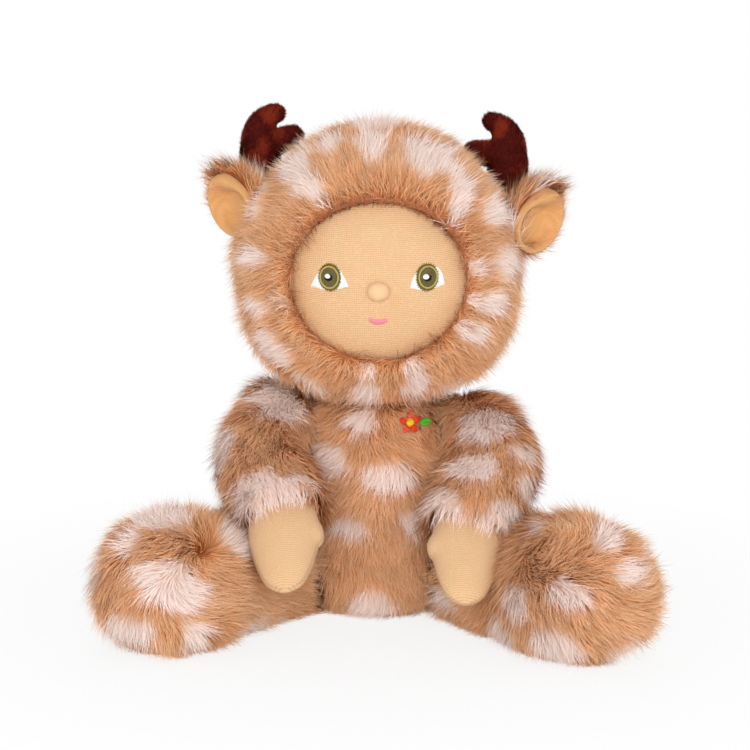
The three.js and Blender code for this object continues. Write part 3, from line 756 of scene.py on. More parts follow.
def split_pile(mesh, name, body, material, tilt):
    """Cuts a pile into pieces of fewer strands, in order round the doll."""
    count = len(mesh.vertices) // BLADE_CORNERS

    def layer(label, width=1):
        key = "vector" if width == 3 else "value"
        return read(mesh.attributes[label].data, key, width).reshape(count, BLADE_CORNERS, width)

    co = read(mesh.vertices, "co", 3).reshape(count, BLADE_CORNERS, 3)
    along, aside, vary, cream_and_lit = (layer(label)[..., 0] for label in ("along", "aside", "vary", "cream_and_lit"))
    cream_and_lit = np.clip((cream_and_lit + 0.5 * (vary - 0.45) - 0.5) / 0.3 + 0.5, 0, 1)
    root = layer("root", 3)[:, 0]
    up = layer("up", 3) + tilt * np.array([0, -0.8, 0.6])
    corners = read(mesh.loops, "vertex_index", kind=np.int32)
    template = corners[: len(corners) // count]
    totals = read(mesh.polygons, "loop_total", kind=np.int32)
    totals = totals[: len(totals) // count]
    bpy.data.meshes.remove(mesh)
    order = np.lexsort((root[:, 2], np.floor(np.arctan2(root[:, 0], -root[:, 1]) * 6)))
    parts = max(1, math.ceil(count / MOST_STRANDS))
    for part, chosen in enumerate(np.array_split(order, parts)):
        label = name if parts == 1 else f"{name}_{part + 1}"
        corner_values = {"along": along[chosen], "vary": vary[chosen], "cream_and_lit": cream_and_lit[chosen]}
        made = strand_object(
            label, co[chosen], up[chosen], aside[chosen], corner_values, template, totals, material
        )
        finish_piece(made, body)


def strand_object(name, co, up, aside, corner_values, template, totals, material):
    """One mesh of strands, with a small UV cell and a soft shading normal for each of them."""
    count = len(co)
    mesh = bpy.data.meshes.new(name)
    a, b, c = (co[:, k] for k in template[:3])
    if np.sum(np.cross(b - a, c - a) * up[:, 0]) < 0:
        ends = np.cumsum(totals)
        template = np.concatenate([part[::-1] for part in np.split(template, ends[:-1])])
    corners = (template[None, :] + BLADE_CORNERS * np.arange(count)[:, None]).ravel()
    sizes = np.tile(totals, count)
    mesh.vertices.add(count * BLADE_CORNERS)
    write(mesh.vertices, "co", co)
    mesh.loops.add(len(corners))
    write(mesh.loops, "vertex_index", corners, np.int32)
    mesh.polygons.add(len(sizes))
    write(mesh.polygons, "loop_start", np.r_[0, np.cumsum(sizes)[:-1]], np.int32)
    write(mesh.polygons, "loop_total", sizes, np.int32)
    mesh.update(calc_edges=True)
    cell = 1 / math.ceil(math.sqrt(count))
    column, row = np.divmod(np.arange(count)[:, None], round(1 / cell))
    across = (column + 0.5 + 0.7 * aside) * cell
    flat = np.stack([across, (row + 0.12 + 0.76 * corner_values["along"]) * cell], axis=2)
    write(mesh.uv_layers.new(name="OFBake").data, "uv", flat.reshape(-1, 2)[corners])
    for label, values in corner_values.items():
        store(mesh, label, values)
    mesh.shade_smooth()
    own = read(mesh.vertex_normals, "vector", 3)
    mesh.normals_split_custom_set_from_vertices(unit(0.65 * up.reshape(-1, 3) + 0.35 * own).tolist())
    mesh.materials.append(bpy.data.materials[material])
    return add_object(name, mesh)


def patchy(places, pace):
    """Patches from -1 to 1 over the places."""
    return np.array([noise.noise(Vector(p) * pace) for p in places])


def tangent(flow, normals):
    return unit(flow - np.sum(flow * normals, axis=1, keepdims=True) * normals)


SPOT_SPACING = 27 * MM
SPOT_SHIFT = 4 * MM


def paint_spots(made, comb, front, seed, spots_behind=True):
    """Marks where strands turn cream. A front spot is x, z, half width and half height in mm."""
    places, normals = vertex_places(made), vertex_normals(made)
    camera = np.array([0, -1.0, 0.267])
    facing = np.sum(normals * unit(camera - places), axis=1)
    seen = facing > 0.12
    centres = []
    for x, z, half_x, half_z in front:
        gap = np.hypot((places[:, 0] - x * MM) / half_x, (places[:, 2] - z * MM) / half_z)
        gap[~seen] += 100
        near = places[np.argmin(gap)]
        centres.append((np.array([x * MM, near[1], z * MM]), half_x * MM, half_z * MM))
    if spots_behind:
        draw = np.random.default_rng(seed)
        hidden = np.flatnonzero(facing < 0.02)
        draw.shuffle(hidden)
        for k in hidden:
            if all(np.linalg.norm(places[k] - c) > SPOT_SPACING for c, *_ in centres):
                centres.append((places[k], draw.uniform(6, 10) * MM, draw.uniform(6, 9.5) * MM))
    looked = places + comb * SPOT_SHIFT
    value = np.zeros(len(places))
    for centre, half_x, half_z in centres:
        away = looked - centre
        half_y = 0.75 * (half_x + half_z)
        gap = np.linalg.norm(away / (half_x, half_y, half_z), axis=1)
        value = np.maximum(value, 2.2 - gap)
    return np.clip((value + 0.45 * patchy(places, 160) - 0.88) / 0.42, 0, 1)


PILE_LAYERS = ("comb", "cover", "stretch", "lean")


def dress(made, comb, cover, cream_and_lit, stretch=None, lean=None):
    """Stores on a backing all that the strand tree reads from it."""
    ones = np.ones(len(comb))
    store(made.data, "comb", comb, "FLOAT_VECTOR")
    for label, values in (("cover", cover), ("cream_and_lit", cream_and_lit), ("stretch", stretch), ("lean", lean)):
        store(made.data, label, ones if values is None else values)


def undress(made, labels=PILE_LAYERS):
    for label in labels:
        made.data.attributes.remove(made.data.attributes[label])


def wander(places, pace):
    """A slow change of direction from place to place, the same in each run."""
    noise.seed_set(11)
    return np.array([noise.noise_vector(Vector(p) * pace) for p in places])


def ruffled(made, comb):
    """The comb with a slow wander in it, laid along the backing."""
    return tangent(unit(comb) + 0.8 * wander(vertex_places(made), 55), vertex_normals(made))


def furred_piece(made, name, body, nodes, comb, cover, front, seed, fur, stretch=None, lean=None,
                 **style):
    """Stores the comb, cover and spots on a backing and grows its pile. Both ride on the body."""
    comb = ruffled(made, comb)
    cream_and_lit = paint_spots(made, comb, front, seed)
    dress(made, comb, cover, cream_and_lit, stretch, lean)
    settings = {
        "material": "fawn_strands", "density": fur.strands * 1e6, "size": fur.pile, "width": fur.width,
        "rise": 0.4, "lock": fur.lock, "gather": 0.58, "stray": 0.4,
    }
    settings.update(style)
    grow_pile(made, name, body, seed=fur.seed + seed, **settings)
    undress(made)
    return finish_piece(made, body, nodes)


def backing(name, verts, faces):
    made = make_object(name + "_backing", verts, faces, "fur_backing")
    return made, vertex_places(made), vertex_normals(made)


def filling_piece(name, body, verts, faces):
    made = make_object(name, verts, faces, "loose_filling")
    finish_piece(made, body, [name.replace("_stuffing", "_filling")])


# Operators, one for each group of pieces
class DOLL_OT_materials(bpy.types.Operator):
    """Builds the shared node groups and the cloth, pile and thread materials"""

    bl_idname = "doll.materials"
    bl_label = "Materials"

    def execute(self, context):
        scene = context.scene
        fur, knit, thread = scene.doll_fur, scene.doll_knit, scene.doll_thread
        knit_group()
        mottle_group()
        strand_tree()
        strand_material(
            "fawn_strands", (fur.root, fur.middle, fur.tip), (fur.cream_root, fur.cream_tip)
        )
        rust, dark, skin = tuple(fur.hem), tuple(knit.velour), tuple(knit.skin)
        # The hem's pile darkens toward its root and pales toward its tip: partly its own colour, partly
        # painted shade and painted highlight
        strand_material("hem_strands", (toned(rust, 0.7), rust, toned(rust, 1.2)), (rust, rust))
        # The antler pile's pale ramp is painted light for its upper sides. Its redder tip is partly the
        # velour's own colour and partly painted highlight, and its darker root is painted shade.
        strand_material(
            "antler_strands", (toned(dark, 0.6), dark, (0.42, 0.12, 0.08)),
            (toned(dark, 1.3), (0.50, 0.17, 0.09)),
        )
        velour_material("antler_velour", dark, (0.56, 0.22, 0.13))
        velour_material("hem_velour", rust, (0.80, 0.58, 0.42))
        plain_materials(fur, thread)
        knit_material("face_knit", skin, None, knit.wale, knit.course)
        knit_material("nose_knit", toned(skin, 1.035), None, 0.0005, 0.0005, 0.02, 0.16)
        knit_material("hand_knit", skin, "Knit", 0.0009, 0.00085, 0.02, 0.7, 0.0012)
        knit_material("ear_knit", knit.lining, "Knit", 0.0009, 0.0009, 0.008, 0.4, 0.0008)
        return {"FINISHED"}


SENSOR_WIDTH = 36
CAMERA_SHIFT = -3.5 / 750
WHITE = (1, 1, 1, 1)


class DOLL_OT_stage(bpy.types.Operator):
    """Sets up the camera, the lamps, the pale floor and the white surroundings"""

    bl_idname = "doll.stage"
    bl_label = "Stage"

    def execute(self, context):
        scene = context.scene
        stage = scene.doll_stage
        data = bpy.data.cameras.new("camera")
        data.lens = stage.focal
        data.sensor_width = SENSOR_WIDTH
        data.shift_x = CAMERA_SHIFT
        camera = add_object("camera", data)
        camera.location = (0, -stage.distance, stage.height)
        camera.rotation_euler = (math.radians(90 - stage.pitch), 0, 0)
        scene.camera = camera
        for name, place, size, power in (
            ("key", (-0.35, -1.75, 0.25), 1.5, 20),
            ("fill", (0.45, -1.6, 0.1), 1.4, 17.5),
            ("back", (0.1, 1.1, 1.3), 1.0, 5),
        ):
            lamp = bpy.data.lights.new(name, "AREA")
            lamp.size = size
            lamp.energy = power * stage.light
            holder = add_object(name, lamp)
            holder.location = place
            aim = Vector((0, 0, 0.1)) - Vector(place)
            holder.rotation_euler = aim.to_track_quat("-Z", "Y").to_euler()
        world = bpy.data.worlds.new("studio")
        scene.world = world
        world.use_nodes = True
        tree = world.node_tree
        tree.nodes.clear()
        path = add_node(tree, "ShaderNodeLightPath")
        shown = maths(tree, "MAXIMUM", path.outputs["Is Camera Ray"], path.outputs["Is Glossy Ray"])
        shown = maths(tree, "MAXIMUM", shown, path.outputs["Is Transmission Ray"])
        soft, full = (
            add_node(tree, "ShaderNodeBackground", {"Color": WHITE, "Strength": strength}).outputs[0]
            for strength in (0.6, 1.0)
        )
        both = add_node(tree, "ShaderNodeMixShader", {0: shown, 1: soft, 2: full})
        add_node(tree, "ShaderNodeOutputWorld", {0: both.outputs[0]})
        floor_material()
        corners = [(-3, -3, 0), (3, -3, 0), (3, 3, 0), (-3, 3, 0)]
        floor = make_object("floor", corners, [(0, 1, 2, 3)], "pale_floor")
        scene.view_settings.view_transform = "Standard"
        return {"FINISHED"}


def floor_material():
    """A white floor that fades into the white surroundings and keeps the doll's soft shadow."""
    tree, shader = new_material("pale_floor", 0.9, Specular_IOR_Level=0.0)
    base = mix_colour(tree, mottle(tree, 0.4), (0.93, 0.93, 0.93, 1), (0.96, 0.96, 0.96, 1))
    plug(tree, shader, {"Base Color": base})
    away = vector(tree, "LENGTH", object_place(tree))
    fade = add_node(tree, "ShaderNodeMapRange", {0: away, 1: 0.12, 2: 0.28, 3: 0.84, 4: 1.0})
    path = add_node(tree, "ShaderNodeLightPath")
    seen = maths(tree, "MULTIPLY", fade.outputs[0], path.outputs["Is Camera Ray"])
    glow = add_node(tree, "ShaderNodeEmission", {"Color": WHITE, "Strength": 1.0}).outputs[0]
    mixed = add_node(tree, "ShaderNodeMixShader", {0: seen, 1: shader.outputs[0], 2: glow})
    plug(tree, tree.nodes["Material Output"], {0: mixed.outputs[0]})


SPRIG = (14 * MM, 88 * MM)
TORSO_SPOTS = (
    (-20, 70, 8.7, 7.1), (4, 64, 9.5, 5.3), (-12, 43, 7.8, 4), (14, 45, 5.2, 4.4), (-7, 87, 5.2, 4),
    (-2, 9, 7.7, 4.8), (27, 94, 5.2, 3.5),
)


class DOLL_OT_torso(bpy.types.Operator):
    """Makes the torso's backing, pile and filling"""

    bl_idname = "doll.torso"
    bl_label = "Torso"

    def form(self, inset, sides, steps):
        half, turn = TORSO_HALF - inset, circle(sides)
        tall = (TORSO_WIDE - inset * 0.3, TORSO_TOP - TORSO_WIDE - inset)
        rings = []
        for level in -np.cos(np.linspace(0, math.pi, steps))[1:-1]:
            upper = int(level >= 0)
            power = TORSO_POWERS[upper]
            r = half * (1 - abs(level) ** power) ** (1 / power)
            z = np.full(sides, TORSO_WIDE + level * tall[upper])
            rings.append(np.stack([r * np.cos(turn), r * np.sin(turn), z], axis=1))
        verts, faces = grid_mesh(rings)
        verts[:, 2] = np.minimum(verts[:, 2], NECK - inset)
        for side in SIDES:
            for kind, reach in (("shoulder", 19.5), ("hip", 26)):
                fit = side_frame(side, kind)
                verts = press(verts, fit["point"], -fit["axis"], reach * MM + inset, inset)
        return verts, faces

    def execute(self, context):
        fur = context.scene.doll_fur
        verts, faces = self.form(fur.inset, 96, 64)
        made, places, normals = backing("torso", verts, faces)
        ones = np.ones(len(places))
        under = 0.15 * np.sign(places[:, 1]) * (normals[:, 2] < -0.5)
        comb = np.stack([places[:, 0] / (70 * MM), under, -ones], axis=1)
        flare = np.clip((14 * MM - places[:, 2]) / (14 * MM), 0, 1)[:, None]
        comb += 1.2 * flare * unit(places * np.array([1, 1, 0]))
        cover = np.ones(len(places))
        cover[places[:, 2] > NECK - fur.inset - 0.5 * MM] = 0.15
        for side in SIDES:
            for kind, reach in (("shoulder", 15), ("hip", 20)):
                fit = side_frame(side, kind)
                depth, _, ring = off_axis(places, fit["point"], fit["axis"])
                cover[(ring < reach * MM) & (depth > -8 * MM)] = 0
        cover[places[:, 2] < 1.5 * MM] = 0.25
        badge = np.hypot(places[:, 0] - SPRIG[0], places[:, 2] - SPRIG[1])
        stretch = np.where((badge < 7 * MM) & (places[:, 1] < 0), 0.5, 1.0)
        furred_piece(
            made, "torso_pile", "torso", ["torso_cover"], comb, cover, TORSO_SPOTS, 1, fur, stretch,
            tilt=0.5,
        )
        verts, faces = self.form(FILLING_INSET, 36, 24)
        filling_piece("torso_stuffing", "torso", verts, faces)
        return {"FINISHED"}


HOOD_SPOTS = (
    (-2, 208, 5.6, 9.7), (20, 203, 10.8, 8.4), (-20, 208, 5.2, 7.1), (-34, 199, 6.9, 8),
    (-28, 190, 5.6, 4.4), (-50, 185, 4.8, 8.9), (-52, 162, 8.7, 4), (-50, 142, 7.8, 4),
    (-43, 123, 8.7, 7.1), (-28, 109, 6.5, 5.3), (-6, 107, 5.2, 7), (15, 109, 5.6, 8.8),
    (30, 104, 6.2, 6.3), (40, 131, 4.7, 3.9), (47, 143, 6.5, 4.4), (53, 160, 8.7, 6.2),
    (48, 180, 7.4, 5.3), (33, 189, 4.7, 8.8),
)


def from_face(places):
    """The way out from the face's middle, as seen from the front."""
    x, z = places[:, 0], places[:, 2] - FACE_Z
    return unit(np.stack([x, 0 * x, z], axis=1))


def face_rings(inset, first, last, steps, sides=120):
    """Rings round the face's axis on the head's surface. first and last are shares of the way from
    the face's centre to the opening (up to 1) and on to the back of the head (2)."""
    angle = circle(sides)
    edge_x = (FACE_HALF[0] + 2 * HEM_RADIUS) * np.cos(angle)
    edge_z = FACE_Z + (FACE_HALF[1] + 2 * HEM_RADIUS) * np.sin(angle)
    centre = np.array([0, head_front(0, FACE_Z, inset), FACE_Z])
    edge = np.stack([edge_x, head_front(edge_x, edge_z, inset), edge_z], axis=1)
    to_edge = unit(edge - HEAD_CENTRE)
    to_centre = unit(centre - HEAD_CENTRE)
    to_back = np.array([0, 1.0, 0])
    rings = []
    for share in np.linspace(first, last, steps):
        if share <= 1:
            a, b, t = np.broadcast_to(to_centre, to_edge.shape), to_edge, share
        else:
            a, b, t = to_edge, np.broadcast_to(to_back, to_edge.shape), share - 1
        gap = np.arccos(np.clip(np.sum(a * b, axis=1), -1, 1))[:, None]
        way = (np.sin((1 - t) * gap) * a + np.sin(t * gap) * b) / np.maximum(np.sin(gap), 1e-6)
        way = unit(way)
        rings.append(HEAD_CENTRE + way * head_radius(way, inset)[:, None])
    return rings


class DOLL_OT_hood(bpy.types.Operator):
    """Makes the hood's backing and pile, the head's filling and the hem round the face"""

    bl_idname = "doll.hood"
    bl_label = "Hood"

    def execute(self, context):
        fur = context.scene.doll_fur
        rings = face_rings(fur.inset, 0.95, 1.985, 84, 160)
        verts, faces = grid_mesh(rings, closed_start=False)
        made, places, _ = backing("hood", verts, faces)
        outward = from_face(places)
        back = np.clip((places[:, 1] + 45 * MM) / (80 * MM), 0, 1)[:, None]
        comb = outward * (1 - back) + np.array([0, 0.55, -0.35]) * (0.3 + back)
        comb = comb + np.array([0, 0, -0.9]) * back
        cover = np.ones(len(places))
        cover[(places[:, 2] < 102 * MM) & (np.hypot(places[:, 0], places[:, 1]) < 30 * MM)] = 0.1
        lip = np.clip((places[:, 1] + 50 * MM) / (22 * MM), 0, 1)
        lean = 0.88 + 0.12 * lip
        stretch = np.ones(len(places))
        for facts in SIDES.values():
            across = facts["sign"] * (42 + facts["antler_shift"]) * MM
            gap = np.linalg.norm(places - np.array([across, 2 * MM, 202 * MM]), axis=1)
            stretch -= 0.55 * gauss(gap, 17 * MM)
        furred_piece(
            made, "hood_pile", "head", ["hood_cover"], comb, cover, HOOD_SPOTS, 2, fur, stretch, lean
        )
        add_wall(made, 1.6 * MM)
        rings = face_rings(7.4 * MM, 0.02, 1.99, 40, 60)
        verts, faces = grid_mesh(rings)
        filling_piece("head_stuffing", "head", verts, faces)
        self.hem(fur)
        return {"FINISHED"}

    def hem(self, fur):
        angle = circle(96)
        roll = 1.6 * MM
        x = (FACE_HALF[0] + roll) * np.cos(angle)
        z = FACE_Z + (FACE_HALF[1] + roll) * np.sin(angle)
        middle = np.stack([x, head_front(x, z, (FUR_WALL + GAP) / 2), z], axis=1)
        ahead = unit(np.roll(middle, -1, axis=0) - np.roll(middle, 1, axis=0))
        out = unit(np.cross(ahead, np.array([0, 1.0, 0])))
        lift = np.cross(out, ahead)
        turns = circle(12)
        rings = [middle + roll * (math.cos(t) * out + 1.3 * math.sin(t) * lift) for t in turns]
        rings.append(rings[0])
        verts, faces = grid_mesh(rings, False, False)
        made = make_object("hem_roll", verts, faces, "hem_velour")
        tidy_mesh(made.data, 0.01 * MM)
        places, normals = vertex_places(made), vertex_normals(made)
        outward = from_face(places)
        comb = ruffled(made, outward)
        facing = np.sum(normals * outward, axis=1)
        front = np.clip((0.35 - normals[:, 1]) * 4, 0, 1) * np.clip((facing + 1.0) * 4, 0, 1)
        turn = np.degrees(np.arctan2(places[:, 2] - FACE_Z, places[:, 0]))
        shown = np.clip(np.minimum(turn - 12, 150 - turn) / 14, 0, 1)
        hem_pile = (front * shown, 0 * front, "hem_strands", "rust_hem", 8e6, 3.2 * MM, 0.5)
        spots = paint_spots(made, comb, HOOD_SPOTS, 3, spots_behind=False)
        outer = np.clip(facing * 2, 0, 1)
        lip = front * np.maximum(1 - shown, outer)
        lip_pile = (lip, spots, "fawn_strands", "fawn_fur", fur.strands * 1.6e6, fur.pile * 0.85, 0.3)
        for name, (cover, cream_and_lit, material, slot, density, size, rise) in (
            ("hem_pile", hem_pile), ("hood_lip_pile", lip_pile),
        ):
            dress(made, comb, cover, cream_and_lit)
            grow_pile(
                made, name, "head", material, density, size, fur.width, rise, fur.lock, 0.58, 0.7,
                fur.seed, slot,
            )
            undress(made, (*PILE_LAYERS, "cream_and_lit"))
        finish_piece(made, "head", ["hood_hem"])


class DOLL_OT_face(bpy.types.Operator):
    """Makes the knitted face panel and the ball nose"""

    bl_idname = "doll.face"
    bl_label = "Face"

    def execute(self, context):
        rings = face_rings(FUR_WALL + GAP, 0.015, 1.04, 40)
        verts, faces = grid_mesh(rings, closed_end=False)
        verts = puff_face(verts)
        made = make_object("face_panel", verts, faces, "face_knit")
        add_wall(made, 1.2 * MM)
        finish_piece(made, "head", ["face_cover"])
        self.nose()
        return {"FINISHED"}

    def nose(self):
        centre = face_place(0, FACE_Z - 3.1 * MM) + np.array([0, -0.6, 0]) * MM
        angle = circle(40)
        rings = []
        for t in np.linspace(0.04, 0.97, 26):
            turn = t * math.pi
            pinch = 1 - 0.12 * max(0, (t - 0.55) / 0.45) ** 1.5
            r = math.sin(turn) * pinch
            y = np.full(len(angle), -NOSE_HALF[1] * math.cos(turn))
            x, z = NOSE_HALF[0] * r * np.cos(angle), NOSE_HALF[2] * r * np.sin(angle)
            rings.append(centre + np.stack([x, y, z], axis=1))
        verts, faces = grid_mesh(rings)
        made = make_object("nose_ball", verts, faces, "nose_knit")
        finish_piece(made, "head", ["nose"])


def puff_face(verts):
    """The face swells a little at its cheeks and tucks in where the hem holds it."""
    x, z = verts[:, 0], verts[:, 2] - FACE_Z

    def mounds(tall, aside, up, spread):
        gaps = ((x - sign * aside * MM) ** 2 + (z - up * MM) ** 2 for sign in (1, -1))
        return sum(tall * MM * np.exp(-gap / (2 * (spread * MM) ** 2)) for gap in gaps)

    edge = np.hypot(x / (FACE_HALF[0] + 3 * MM), z / (FACE_HALF[1] + 3 * MM))
    swelling = 1.8 * MM * np.clip(1 - edge**2, 0, 1)
    moved = verts.copy()
    moved[:, 1] -= swelling + mounds(0.9, 20, -12, 9) - mounds(0.7, EYE[0], EYE[1], 7)
    return moved


def face_place(x, z, rise=0.0):
    """A point on the puffed face, rise in front of it."""
    point = np.array([[x, float(head_front(x, z, FUR_WALL + GAP)), z]])
    return puff_face(point)[0] - np.array([0, rise, 0])


# Embroidery: each stitch is a short bowed line, and the tree gives it a thread's thickness
def stitch_tree():
    inputs = {"Geometry": "Geometry", "Thread radius": 0.0002, "Corners": 6, "Material": "Material"}
    group, inside, outside = new_group(
        "Thread stitches", "GeometryNodeTree", inputs, {"Geometry": "Geometry"}
    )
    given = inside.outputs
    line = geometry(group, "MeshToCurve", {"Mesh": given["Geometry"]})
    ring = {"Resolution": given["Corners"], "Radius": given["Thread radius"]}
    ring = geometry(group, "CurvePrimitiveCircle", ring)
    tube = {"Curve": line, "Profile Curve": ring, "Fill Caps": True}
    real = geometry(group, "RealizeInstances", {0: geometry(group, "CurveToMesh", tube)})
    end_tree(group, outside, real, given["Material"])


def sew(name, stitches, material, radius, body, nodes=()):
    """Stitches are lists of points. They become one plain mesh of threads."""
    verts, edges = [], []
    for stitch in stitches:
        start = len(verts)
        verts += [tuple(p) for p in stitch]
        edges += [(start + k, start + k + 1) for k in range(len(stitch) - 1)]
    mesh = bpy.data.meshes.new(name)
    mesh.from_pydata(verts, edges, [])
    made = add_object(name, mesh)
    values = {"Thread radius": radius, "Material": bpy.data.materials[material]}
    run_group(made, "Thread stitches", values)
    apply_modifiers(made)
    finish_piece(made, body, nodes)


def bowed(a, b, surface, rise, sink=0.0002):
    """A stitch from a to b in flat coordinates, whose ends go into the cloth."""
    points = []
    for t in np.linspace(0, 1, 5):
        x, z = a[0] + (b[0] - a[0]) * t, a[1] + (b[1] - a[1]) * t
        lift = rise * (1 - (2 * t - 1) ** 4) - sink * (abs(2 * t - 1) > 0.99)
        points.append(surface(x, z, lift))
    return points


# Places in each eye, across and up from its middle in millimetres. The glint has its half size too,
# and top and low are the edges of the white
EYES = {
    "right": {
        "ring": (-0.25, 0.1), "pupil": (-0.55, 0.0), "glint": (-0.95, 0.5, 1.2),
        "top": (
            (-8.2, -4), (-6.6, -0.8), (-5, 2), (-2.5, 4.3), (0, 5.2), (3.3, 4.5), (4.9, 2.5),
            (6.6, -0.3), (8, -3.4),
        ),
        "low": ((-8.2, -4.1), (-3.1, -5.4), (0, -5.6), (3.7, -4.85), (8, -3.5)),
    },
    "left": {
        "ring": (0.35, 0.2), "pupil": (0.15, -0.1), "glint": (-0.5, 0.3, 1.35),
        "top": (
            (-7.4, -4), (-6.7, -1.5), (-5.3, 1.3), (-3.3, 3.9), (0, 5.3), (4.3, 4.3), (5.7, 2.7),
            (6.8, 0.6), (7.6, -3.2),
        ),
        "low": ((-7.4, -4.1), (-3, -5.4), (0, -5.6), (3.8, -4.7), (7.6, -3.3)),
    },
}
IRIS_HALF = np.array([4.75, 5.6])
TEETH = 92


class DOLL_OT_eyes(bpy.types.Operator):
    """Sews the eyes: satin whites, toothed irises with a gold ring, pupils and a glint"""

    bl_idname = "doll.eyes"
    bl_label = "Eyes"

    def execute(self, context):
        draw = np.random.default_rng(5)
        radius = context.scene.doll_thread.radius
        for side, facts in SIDES.items():
            eye = EYES[side]
            middle = np.array([facts["sign"] * EYE[0], FACE_Z / MM + EYE[1]])

            def spot(across, up, rise):
                return face_place((middle[0] + across) * MM, (middle[1] + up) * MM, rise * MM)

            def upright(centre, half, tall, step, rise, shake=0.0):
                """Satin stitches over an oval."""
                rows = []
                for x in np.arange(-half, half + 0.01, step):
                    top = tall * math.sqrt(max(0.02, 1 - (x / half) ** 2))
                    rows.append(bowed(
                        (centre[0] + x, centre[1] - top + draw.uniform(-shake, shake)),
                        (centre[0] + x, centre[1] + top), spot, rise, sink=0.2,
                    ))
                return rows

            def oval(centre, half, rise, wave):
                count = int(8 * max(half))
                turns = np.linspace(0, 2 * math.pi, 2 * count + 1)
                return [
                    spot(centre[0] + (half[0] + wave * (k % 2)) * math.cos(t),
                         centre[1] + (half[1] + wave * (k % 2)) * math.sin(t), rise)
                    for k, t in enumerate(turns)
                ]

            whites = []
            top, low = np.array(eye["top"]), np.array(eye["low"])
            for x in np.arange(top[0, 0] + 0.1, top[-1, 0], 0.34):
                high, deep = np.interp(x, *top.T), np.interp(x, *low.T)
                shake = draw.uniform(-0.1, 0.1, 2)
                whites.append(bowed((x, deep + shake[0]), (x, high + shake[1]), spot, 0.45, sink=0.2))
            sew(side + "_white_stitches", whites, "white_embroidery", radius * 1.15, "head",
                [side + "_eye_white"])
            teeth = []
            for k in range(TEETH):
                turn = 2 * math.pi * k / TEETH
                ahead = np.array([math.cos(turn), math.sin(turn)]) * IRIS_HALF
                outer = 1.0 + 0.09 * (k % 3 == 0) + draw.uniform(-0.03, 0.035)
                teeth.append(bowed(ahead * 0.74, ahead * outer, spot, 1.0, sink=0.2))
            sew(side + "_iris_teeth", teeth, "olive_embroidery", radius * 1.05, "head",
                [side + "_iris"])
            inner = [
                oval((0, 0), IRIS_HALF * share, 1.0, 0.06)
                for share in (0.28, 0.37, 0.46, 0.55, 0.64, 0.73)
            ]
            sew(side + "_iris_rings", inner, "hazel_embroidery", radius * 1.2, "head")
            ring = [oval(eye["ring"], IRIS_HALF * share, 1.25, 0.05) for share in (0.785, 0.835)]
            sew(side + "_iris_gold", ring, "gold_embroidery", radius * 1.2, "head")
            pupil = upright(eye["pupil"], 1.75, 2.4, 0.27, 1.35)
            sew(side + "_pupil_stitches", pupil, "dark_embroidery", radius, "head",
                [side + "_pupil"])
            across, up, half = eye["glint"]
            glint = upright((across, up), half - 0.1, half * 1.25, 0.26, 1.7)
            sew(side + "_glint_stitches", glint, "white_embroidery", radius, "head")
        return {"FINISHED"}


MOUTH_HALF = 3.7


class DOLL_OT_mouth(bpy.types.Operator):
    """Sews the mouth in upright satin stitches"""

    bl_idname = "doll.mouth"
    bl_label = "Mouth"

    def execute(self, context):
        radius = context.scene.doll_thread.radius
        stitches = []
        for x in np.arange(-MOUTH_HALF, MOUTH_HALF + 0.01, 0.31) * MM:
            s = x / (MOUTH_HALF * MM)
            middle = FACE_Z - 15.55 * MM - 0.85 * MM * (1 - s**2) + 0.15 * MM * abs(s) ** 3
            tall = 1.12 * MM * (1 - 0.25 * s**6)
            stitches.append(bowed((x, middle - tall), (x, middle + tall), face_place, 0.55 * MM))
        sew("mouth_stitches", stitches, "pink_embroidery", radius * 1.1, "head",
            ["mouth"])
        return {"FINISHED"}


class DOLL_OT_sprig(bpy.types.Operator):
    """Sews the small flower sprig on the chest"""

    bl_idname = "doll.sprig"
    bl_label = "Chest sprig"

    def execute(self, context):
        radius = context.scene.doll_thread.radius
        x0, z0 = SPRIG

        def chest(x, z, rise):
            return np.array([x, float(torso_front(x, z, 0)) - 1.2 * MM - rise, z])

        petals = []
        for k in range(5):
            turn = math.pi / 2 + 2 * math.pi * k / 5
            ahead = np.array([math.cos(turn), math.sin(turn)])
            aside = np.array([-ahead[1], ahead[0]])
            for w in np.linspace(-1.55, 1.55, 11):
                far = 4.9 * math.sqrt(max(0.05, 1 - (w / 1.9) ** 2))
                near = 1.5 + 0.25 * abs(w)
                a = np.array([x0, z0]) + (ahead * near + aside * w * 0.55) * MM
                b = np.array([x0, z0]) + (ahead * far + aside * w) * MM
                petals.append(bowed(a, b, chest, 0.9 * MM))
        sew("petal_stitches", petals, "petal_embroidery", radius, "torso",
            ["chest_flower_petals"])
        centre = []
        for w in np.arange(-1.5, 1.51, 0.33) * MM:
            top = math.sqrt(max(0, (1.6 * MM) ** 2 - w**2))
            centre.append(bowed((x0 + w, z0 - top), (x0 + w, z0 + top), chest, 1.3 * MM))
        sew("centre_stitches", centre, "yolk_embroidery", radius, "torso",
            ["chest_flower_centre"])
        leaf = []
        for t in np.linspace(0.02, 0.98, 20):
            half = 1.6 * MM * math.sin(math.pi * t) ** 0.8
            x = x0 + (5.1 + 5 * t) * MM
            for up in (half, -half):
                end = (x - 0.8 * MM, z0 + up - 0.6 * MM)
                leaf.append(bowed((x, z0 - 0.6 * MM), end, chest, 0.9 * MM))
        sew("leaf_stitches", leaf, "leaf_embroidery", radius, "torso",
            ["chest_flower_leaf"])
        return {"FINISHED"}


